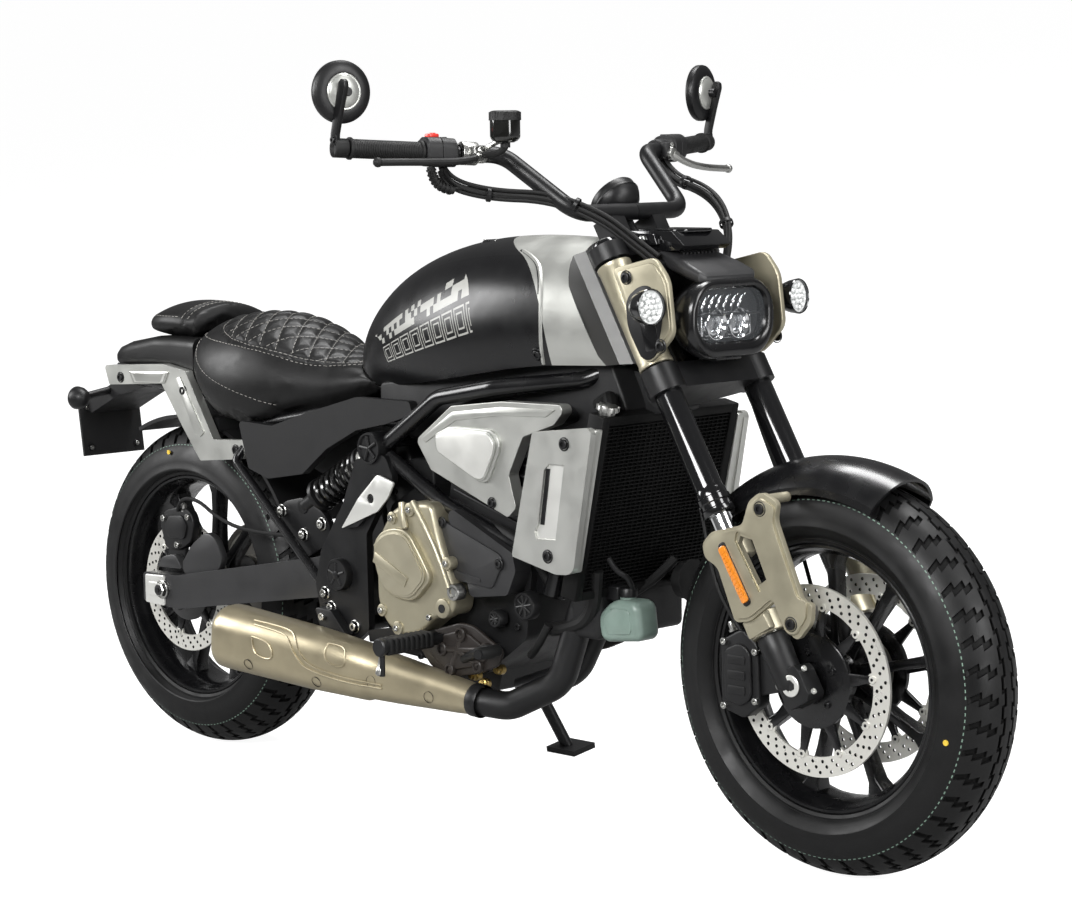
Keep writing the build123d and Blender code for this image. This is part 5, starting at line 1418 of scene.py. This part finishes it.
addPlate(bm, shock["link"], -122, -108, corner=9, edge=2)
addBolts(bm, shock["linkBolts"], -122, 8, 5.5, 3, [(12, -1), (12, 2.4), (10.5, 3.4)], lift=2.5)
addRod(bm, foot - over * 12, foot + over * 12, 14, edge=1.5)
addPiece("rearShockCoil", bm, machine, ["satinBlack", "brightPlate", "springBlack", "zinc"], "rear_shock",
         smooth=40)

# swingarm end: adjuster block, axle nut, adjusting bolts, upper brace
adjuster = {
    # outline, from, to, corner, edge, finish
    "plates": [
        ([(-52, 281), (-52, 335), (6, 337), (6, 279)], -139.5, -133, 4, 1.2, 1),
        ([(-40, 296), (-40, 322), (-4, 322), (-4, 296)], -141.5, -138, 3, 0.8, 1),
        ([(60, 336), (150, 350), (170, 382), (150, 420), (120, 430), (78, 402), (44, 360)],
         -128, -112, 12, 3, 3),
        ([(-30, 350), (-10, 372), (30, 380), (52, 352)], -130, -112, 10, 3, 3)],
    # profile, steps, finish
    "nut": [([(14, 0), (14, 8), (12, 9.5), (0, 9.5)], 6, 2), ([(18, -1), (18, 2), (16.5, 3)], 36, 2),
            ([(5, 9), (5, 13), (0, 13)], 16, 0)],
}
bm = bmesh.new()
for outline, low, high, corner, edge, mat in adjuster["plates"]:
    addPlate(bm, outline, low, high, corner, edge, mat)
for profile, steps, mat in adjuster["nut"]:
    addTurned(bm, profile, (0, -139, 310), toRight, steps, mat)
for z in (290, 330):
    addRod(bm, (-66, -126, z), (-40, -126, z), 4, segments=14, mat=2)
    addTurned(bm, [(0, 0), (7, 0), (7, 5), (0, 5)], (-58, -126, z), (-1, 0, 0), 6, 2)
mirrorAll(bm)
addPiece("swingarmAdjusters", bm, machine, ["satinBlack", "brightPlate", "zinc", "armGrey"], "swingarm",
         stands=False)

# rear caliper on its carrier, brake hose, drawn in the rear wheel's frame
rearCaliper = {
    "body": [(-24, 74), (22, 74), (54, 92), (64, 130), (52, 152), (22, 158), (-22, 148), (-40, 122)],
    "face": [(-12, 96), (38, 96), (46, 122), (34, 142), (-8, 138), (-22, 118)],
    "carrier": [(-26, 20), (26, 20), (30, 96), (-22, 96)],
    "hose": [(20, -112, 150), (40, -124, 176), (90, -120, 178), (140, -118, 150), (220, -116, 128),
             (330, -112, 130)],
}
bleeder = [(0, 16), (3, 16), (5, 12), (5, 4), (7, 3), (7, 0)]
bm = bmesh.new()
addPlate(bm, rearCaliper["body"], -110, -92, corner=9, edge=3, segments=3)
addPlate(bm, rearCaliper["face"], -114, -108, corner=8, edge=2)
addPlate(bm, rearCaliper["carrier"], -104, -94, corner=6, edge=1.5)
addBolts(bm, ((-24, 132), (50, 140), (16, 84)), -110, 6, 6, 1)
addTurned(bm, bleeder, (30, -104, 150), (0.2, -0.3, 1), 12, 1)
addTube(bm, rearCaliper["hose"], 3.6, ring=12, mat=2)
addPiece("rearCaliperCast", bm, rearWheel, ["castBlack", "zinc", "rubberBlack"], "rear_caliper")
print("rear end made")

# muffler: rounded body, seam, embossed lines, bolts, outlet
mufflerParts = {
    "front": Vector((884, -162, 214)), "rear": Vector((292, -214, 266)),
    # share, half width, half height, corner
    "rows": [(0, 24.6, 24.6, 22), (0.05, 27, 28, 24), (0.28, 33.8, 39.8, 30), (0.385, 37, 44, 33),
             (0.395, 40.6, 47.6, 35), (0.62, 45.8, 53.8, 38), (0.97, 49.6, 57.6, 42), (0.99, 48.6, 56.6, 41),
             (1, 45.5, 53.5, 39)],
    # outlet: distance from the end, half width, half height, corner
    "outlet": [(0.2, 45.5, 53.5, 39), (3, 42, 50, 37), (26, 41, 49, 36)],
    "lines": [
        [(392, 306), (470, 300), (500, 290), (516, 262), (540, 240), (640, 226), (700, 224)],
        [(398, 300), (464, 293), (488, 284), (506, 256), (532, 233), (640, 219), (700, 218)]],
    "ovals": [[(574, 283), (612, 282), (622, 262), (618, 246), (586, 248), (572, 262)],
              [(402, 280), (440, 276), (452, 258), (448, 242), (414, 246), (402, 262)]],
    "lineRadius": 1.7, "lineSink": 0.35,
    "bolts": [(389, 228), (552, 214), (676, 228), (802, 214)],
    "bracket": [(478, 330), (520, 330), (560, 290), (540, 262), (500, 270)],
}
front, end = mufflerParts["front"], (mufflerParts["rear"] - mufflerParts["front"]).length
axis = (mufflerParts["rear"] - front).normalized()
sideways = (over - axis * axis.dot(over)).normalized()
upwards = axis.cross(sideways)
if upwards.z < 0:
    upwards = -upwards
place = Matrix.Translation(front) @ Matrix((axis, sideways, upwards)).transposed().to_4x4()
bm = bmesh.new()
addLoft(bm, [(share * end, *row, 0) for share, *row in mufflerParts["rows"]], capEnd=False, place=place,
        segments=10)
tree = BVHTree.FromBMesh(bm)
addLoft(bm, [(end - back, *row, 0) for back, *row in mufflerParts["outlet"]], capStart=False, place=place,
        mat=1, segments=10)
addTurned(bm, [(22, -24), (22, 0), (20, 0), (20, -24)], front + axis * (end - 4), axis, 40, 1)
radius = mufflerParts["lineRadius"]
for line in mufflerParts["lines"] + [oval + oval[:1] for oval in mufflerParts["ovals"]]:
    line = smoothLine([(x, -500, z) for x, z in line], 6)
    sink = radius * mufflerParts["lineSink"]
    addTube(bm, [spot - normal * sink for spot, normal in dropLine(tree, line, over)], radius, ring=8)
for spot, normal in onFlank(tree, mufflerParts["bolts"]):
    addTurned(bm, [(10, -1), (10, 1.6), (8.6, 2.4)], spot, normal, 28, 1)
    addBolt(bm, spot + normal * 1.5, normal, 6.5, 4.5, mat=2)
addPlate(bm, mufflerParts["bracket"], -170, -152, corner=6, edge=2, mat=1)
addBolt(bm, (500, -170, 316), toRight, 7, 5, mat=2)
addTurned(bm, [(27.5, -14), (28.5, -12), (28.5, 6), (27.5, 8), (25, 8)], front, axis, 40, 1)
addPiece("mufflerBody", bm, machine, ["muffler", "castBlack", "zinc"], "muffler")

# header collars, studs and probe
bm = bmesh.new()
for y in (-55, 55):
    addRod(bm, (988, y, 619), (1000, y, 616), 31, segments=40, edge=2)
    for z in (-27, 27):
        addRod(bm, (990, y, 619 + z), (1012, y, 614 + z), 4, segments=12, mat=1)
        addTurned(bm, [(0, 0), (7, 0), (7, 6), (0, 6)], (1000, y, 617 + z), (0.97, 0, -0.2), 6, 1)
addTurned(bm, [(0, 30), (6, 28), (7, 20), (9, 19), (9, 12), (7, 10), (7, 0)], (1040, -80, 330),
          (-0.3, -0.9, 0.2), 12, 1)
addPiece("headerFittings", bm, machine, ["castBlack", "zinc"], "exhaust_headers", stands=False)

# footpegs: ribbed rubber, feeler pin, brackets with bosses
pegs = {"place": (790, 311), "ribs": 9, "ribStep": 11.5, "middle": (836, 294),
        "stem": [(8, 150), (8, 178), (12, 179), (12.5, 182), (12.5, 290), (15, 292), (15.5, 299), (13, 301),
                 (0, 301)],
        "feeler": [(0, 0), (5.2, 0), (5.6, 3), (4.2, 6), (4.2, 24), (6, 27), (6, 36), (3, 39), (0, 39)],
        "casting": [(718, 305), (839, 341), (871, 338), (940, 304), (930, 277), (883, 258), (808, 242),
                    (765, 257)],
        "bosses": ((800, 292, 12), (846, 322, 12), (906, 302, 12), (886, 272, 11), (818, 258, 11)),
        "lever": ((858, 158, 286), (900, 172, 302), (938, 182, 312), (962, 190, 312))}
x0, z0 = pegs["place"]
middleX, middleZ = pegs["middle"]
for sign, name in ((-1, "right"), (1, "left")):
    outwards = (0, sign, 0)
    bm = bmesh.new()
    addTurned(bm, pegs["stem"], (x0, 0, z0), outwards, 28)
    for index in range(pegs["ribs"]):
        addBox(bm, (x0, sign * (190 + index * pegs["ribStep"]), z0 + 2), (31, 7.5, 25), 2.2, mat=1)
    addBox(bm, (x0, sign * 236, z0 - 6), (24, 104, 16), 2, mat=1)
    addTurned(bm, pegs["feeler"], (x0, sign * 292, z0 - 10), (-0.15, sign * 0.1, -1), 20, 2)
    for x, z, r in pegs["bosses"]:
        addTurned(bm, [(r, -8), (r, 3), (r - 1.5, 4.5), (r - 4, 4.5), (r - 5, 1), (0, 1)], (x, sign * 163, z),
                  outwards, 28, 3)
        addRod(bm, (middleX, sign * 160, middleZ), (x, sign * 160, z), 6, segments=12, mat=3)
    for grow, low, high in ((1.0, 150, 158), (0.72, 156, 163)):
        addPlate(bm, scaled(pegs["casting"], grow, pegs["middle"]), low, high, corner=9, edge=3, mat=3,
                 segments=3, place=Matrix.Diagonal((1, sign, 1, 1)))
    addTube(bm, [(x, sign * y, z) for x, y, z in pegs["lever"]], 7.5, ring=12)
    addTurned(bm, [(0, -3), (9, -2), (10.5, 2), (10.5, 40), (9, 44), (0, 45)], (964, sign * 192, 312),
              outwards, 24, 1)
    addPiece(name + "PegDetails", bm, machine, ["castBlack", "rubberBlack", "zinc", "brownCast"],
             "foot_controls_" + name, stands=False)
print("exhaust and pegs made")

# tail brackets: insets, groove and bolts
tail = {
    "bolts": [(-141, 706), (51, 690), (203, 588)],
    "inset": [(-106, 718), (4, 722), (-8, 702), (-94, 699)],
    "groove": [(30, 712), (44, 716), (112, 614), (100, 606), (84, 612)],
    # x, half width, half height, corner, height
    "rows": [(-197, 66, 6, 5, 739), (-193, 84, 13, 11, 741), (-176, 93, 19, 16, 744), (-140, 97, 24, 18, 750),
             (-60, 98, 29, 18, 758), (0, 98, 31, 18, 757), (60, 98, 37, 18, 750)],
    "tray": [(-186, 726), (-20, 728), (46, 700), (120, 612), (80, 618), (20, 662), (-150, 690)],
    "piping": ((-190, 84, 728), (-130, 97.5, 727), (-60, 98.5, 730), (56, 98.5, 716)),
}
bm = bmesh.new()
for share, low, high, corner, edge, mat in ((1.12, -118.4, -114, 3, 1, 0), (1, -119.4, -116, 2, 0.8, 1),
                                            (0.86, -120.2, -118, 2, 0.6, 0)):
    addPlate(bm, scaled(tail["inset"], share, (-51, 710)), low, high, corner, edge, mat)
addPlate(bm, tail["groove"], -118.4, -114, edge=1.2)
addBolts(bm, tail["bolts"], -116, 7.5, 3.5, 2, [(10.5, -1), (10.5, 0.8), (9, 1.6)])
mirrorAll(bm)
addPiece("tailBracketInsets", bm, machine, ["silverPaint", "brightPlate", "satinBlack"], "tail_brackets",
         stands=False)
# tail cowl: rounded end, tray beneath, piping
bm = bmesh.new()
addLoft(bm, tail["rows"])
addPlate(bm, tail["tray"], -60, 60, corner=5, edge=4, mat=1)
for sign in (-1, 1):
    addTube(bm, [(x, sign * y, z) for x, y, z in tail["piping"]], 2.2, ring=8, mat=1)
addPiece("tailCowlShell", bm, machine, ["leather", "plasticBlack"], "tail_cowl", smooth=48)
# rear signals on their arms, tail lamp with its ribs
bm = bmesh.new()
bell = [(0, -22), (7, -21.5), (13, -18), (18, -11), (21.5, -2), (22.6, 8), (21.6, 10), (19.6, 9)]
for sign in (-1, 1):
    spot = (-262, sign * 126, 660)
    addTurned(bm, bell, spot, (-1, 0, 0), 44)
    addTurned(bm, [(19.8, 8), (14, 12), (7, 14), (0, 14.6)], spot, (-1, 0, 0), 32, 1)
    addRod(bm, (-258, sign * 50, 672), (-258, sign * 112, 663), 7.5, segments=20)
addPlate(bm, [(-206, 722), (-196, 728), (-186, 726), (-186, 700), (-200, 700)], -60, 60, edge=2, mat=2)
for y in range(-54, 55, 9):
    addBox(bm, (-203.4, y, 711), (2, 5, 17), 0.6, mat=2)
addPiece("rearLampSet", bm, machine, ["satinBlack", "amber", "lampRed"], "rear_lamps")
# bolts of the blank number plate
plate = {"place": (-332, 0, 592), "lean": -8, "halfWidth": 56, "halfHeight": 40}
bm = bmesh.new()
part = bmesh.new()
for y in (-plate["halfWidth"], plate["halfWidth"]):
    for z in (-plate["halfHeight"], plate["halfHeight"]):
        addTurned(part, [(8, 0), (8, 1.2), (6.5, 2)], (2.5, y, z), toFront, 24)
        addBolt(part, (3.5, y, z), toFront, 4.5, 3, mat=1)
addBox(part, (-0.6, 0, 48), (2, 40, 12), 0.6)
lean = Matrix.Rotation(math.radians(plate["lean"]), 4, "Y")
joinPart(bm, part, Matrix.Translation(plate["place"]) @ lean)
addPiece("plateHolderBolts", bm, machine, ["satinBlack", "zinc"], "rear_fender", stands=False)
print("tail made")

# front calipers with their brake hoses, drawn in the front wheel's frame
caliper = {
    # outline, from, to, corner, edge, segments
    "plates": [
        ([(-159, 51), (-115, 73), (-83, 51), (-79, -45), (-111, -69), (-157, -57)], -106, -79, 8, 3.5, 3),
        ([(-148, 38), (-116, 52), (-94, 38), (-92, -34), (-114, -50), (-147, -42)], -111, -104, 10, 3, 3),
        ([(-140, -31), (-140, -17), (-104, -17), (-104, -31)], -112.6, -110, 3, 1, 2),
        ([(-140, -7), (-140, 7), (-104, 7), (-104, -7)], -112.6, -110, 3, 1, 2),
        ([(-140, 17), (-140, 31), (-104, 31), (-104, 17)], -112.6, -110, 3, 1, 2),
        ([(-168, 40), (-120, 62), (-104, 44), (-102, -36), (-118, -52), (-160, -36)], -63, -50, 6, 2, 2),
        ([(-170, -24), (-170, 34), (-156, 34), (-156, -24)], -84.6, -54.9, 3, 2, 2),
        ([(-95, 37), (-35, 35), (-25, -15), (-95, -33)], -100, -90, 5, 2, 2)],
    "hose": [(-120, -98, 66), (-140, -104, 92), (-168, -112, 150), (-196, -104, 250), (-250, -92, 380),
             (-300, -80, 520)],
}
bm = bmesh.new()
for outline, low, high, corner, edge, segments in caliper["plates"]:
    addPlate(bm, outline, low, high, corner, edge, segments=segments)
addBolts(bm, ((-150, 50), (-86, 40), (-86, -38), (-150, -52)), -106, 5.5, 5, 1)
addBolts(bm, ((-44, 22), (-40, -8)), -100, 7, 6, 1)
addTurned(bm, bleeder, (-140, -96, 66), (-0.3, -0.2, 1), 12, 1)
addTube(bm, caliper["hose"], 3.4, ring=12, mat=2)
mirrorAll(bm)
addPiece("frontCaliperCast", bm, frontWheel, ["castBlack", "zinc", "rubberBlack"], "front_calipers")

# fender stays: windowed casting clamped round the fork, its bolts and reflector
stay = {
    "outline": [(-162, 207), (-143, 227), (-80, 243), (-67, 281), (-43, 297), (-10, 283), (-15, 255),
                (37, 137), (57, 135), (55, 105), (29, 75), (10, 87), (-15, 133), (-65, 95), (-95, 90),
                (-131, 173), (-157, 185)],
    "window": [(-84, 226), (-60, 222), (-32, 163), (-48, 152), (-88, 214)],
    "bolts": [(-42, 271), (19, 100)],
    # from, to, radius of each clamp
    "clamps": ((216, 256, 29), (89, 123, 30)),
    "reflector": [(-124, 203), (-112, 211), (-62, 129), (-74, 121)], "prisms": 11,
}
bm = bmesh.new()
addPlate(bm, stay["outline"], -144, -134, corner=8, edge=3.5, segments=4, cuts=(stay["window"],))
addPlate(bm, scaled(stay["outline"], 0.93, (-60, 180)), -147.4, -142, corner=8, edge=2.4, segments=3,
         cuts=(scaled(stay["window"], 1.22, (-62, 195)),))
for x, z in stay["bolts"]:
    addTurned(bm, [(17, -6), (17, 0), (15, 2.4), (12.5, 2.4), (12, -2)], (x, -145.5, z), toRight, 36)
addRod(bm, (-47, -136, 283), (-47, -76, 283), 8)
clamps = bmesh.new()
for low, high, r in stay["clamps"]:
    skin = [(19.2, low), (r - 1.5, low), (r, low + 1.5), (r, high - 1.5), (r - 1.5, high), (19.2, high)]
    addTurned(clamps, skin, (-11, -108, 0), toTop, 56, closed=True)
addBox(clamps, (-11, -130, 236), (36, 20, 36), 3)
addBox(clamps, (-5, -132, 106), (48, 16, 30), 3)
joinPart(bm, clamps, frontWheel.inverted() @ fork)
mirrorAll(bm)
addPiece("fenderStayCast", bm, frontWheel, ["bronze"], "fender_stays", smooth=42)
bm = bmesh.new()
addBolts(bm, stay["bolts"], -146.5, 8.5, 4, 0, [(12, -1), (12, 0.8), (10.5, 1.8)], 32)
addPlate(bm, scaled(stay["reflector"], 1.12, (-93, 166)), -149, -144, corner=6, edge=1.4)
addPlate(bm, stay["reflector"], -152.6, -146, corner=5, edge=1.6, mat=1)
topBack, topFront, lowFront, lowBack = (Vector(corner) for corner in stay["reflector"])
for index in range(stay["prisms"]):
    share = 0.12 + 0.076 * index
    a, b = topBack.lerp(lowBack, share), topFront.lerp(lowFront, share)
    addRod(bm, (a.x + 2, -152.4, a.y), (b.x - 2, -152.4, b.y), 1, segments=6, mat=1)
mirrorAll(bm)
addPiece("stayBoltsReflectors", bm, frontWheel, ["satinBlack", "amber"], "front_reflectors")

# cables: several strands from each switch housing, tied together
cables = {
    "right": [(-598, -276, 792), (-604, -262, 767), (-560, -205, 746), (-478, -150, 742), (-403, -108, 709),
              (-356, -84, 668), (-318, -72, 640)],
    "left": [(-590, 236, 802), (-538, 205, 766), (-452, 190, 749), (-386, 165, 718), (-340, 132, 669),
             (-334, 108, 625)],
    # shift ahead, shift up, radius
    "strands": ((0, 0, 4.6), (3.5, 7.5, 3.4), (-2.5, -7, 3.4), (5, -3, 2.8)),
    "ties": (((-560, -207, 747), (0.55, 0.75, -0.1)), ((-440, -128, 729), (0.7, 0.4, -0.4)),
             ((-495, 198, 758), (0.9, -0.2, -0.2)), ((-362, 148, 692), (0.6, -0.4, -0.7))),
    # distance from the end of the bar, drop, ahead
    "bellows": ((150, -24, 6), (150, -40, 8), (168, -58, 6), (190, -60, 4)),
}
bm = bmesh.new()
for route in (cables["right"], cables["left"]):
    for dx, dz, radius in cables["strands"]:
        addTube(bm, [(x + dx, y + dx * 0.5, z + dz) for x, y, z in route], radius, ring=12)
for spot, axis in cables["ties"]:
    addTurned(bm, [(10.5, -4), (12, -3), (12, 3), (10.5, 4)], spot, axis, 20, 1)
# bellows on the throttle side
bellows = smoothLine([barPoint(*row) for row in cables["bellows"]], 6)
for index, (a, b) in enumerate(zip(bellows, bellows[1:])):
    addRod(bm, a, b, 8.5 if index % 2 else 6.8, segments=14)
addTube(bm, [barPoint(186, -60, 4), (-590, -236, 764), (-560, -205, 748)], 3.8, ring=12)
addPiece("controlCableStrands", bm, frontWheel, ["rubberBlack", "satinBlack"], "control_cables")
print("front details made")

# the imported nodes, each in its finish
nodesIn = {
    "frameBlack": "main_frame front_cradle fork_tubes headlamp_body front_fender",
    "satinBlack": "pivot_plates rear_shock side_stand fork_yokes fork_legs front_signals gauge_pod handlebar "
                  "mirrors",
    "castBlack": "engine_block rear_caliper exhaust_headers foot_controls_right foot_controls_left "
                 "front_calipers",
    "plasticBlack": "radiator tail_cowl side_panels rear_fender bar_controls",
    "rimBlack": "front_rim rear_rim", "tankBlack": "fuel_tank", "rubberBlack": "control_cables",
    "tyreRubber": "front_tyre rear_tyre", "leather": "rider_seat pillion_pad",
    "darkGrey": "engine_covers headlamp_cowl", "armGrey": "swingarm",
    "silverPaint": "airbox_covers radiator_shrouds tank_saddle tail_brackets",
    "bronze": "clutch_cover fork_shrouds fender_stays", "muffler": "muffler", "chainSteel": "drive_chain",
    "discSteel": "front_discs rear_disc", "reflectorSilver": "headlamp_lens", "bottleGreen": "coolant_bottle",
    "lampRed": "rear_lamps", "amber": "front_reflectors",
}
for finishName, nodes in nodesIn.items():
    for node in nodes.split():
        materials = frame["nodes"][node].data.materials
        materials.clear()
        materials.append(mats[finishName])
print("nodes dressed")
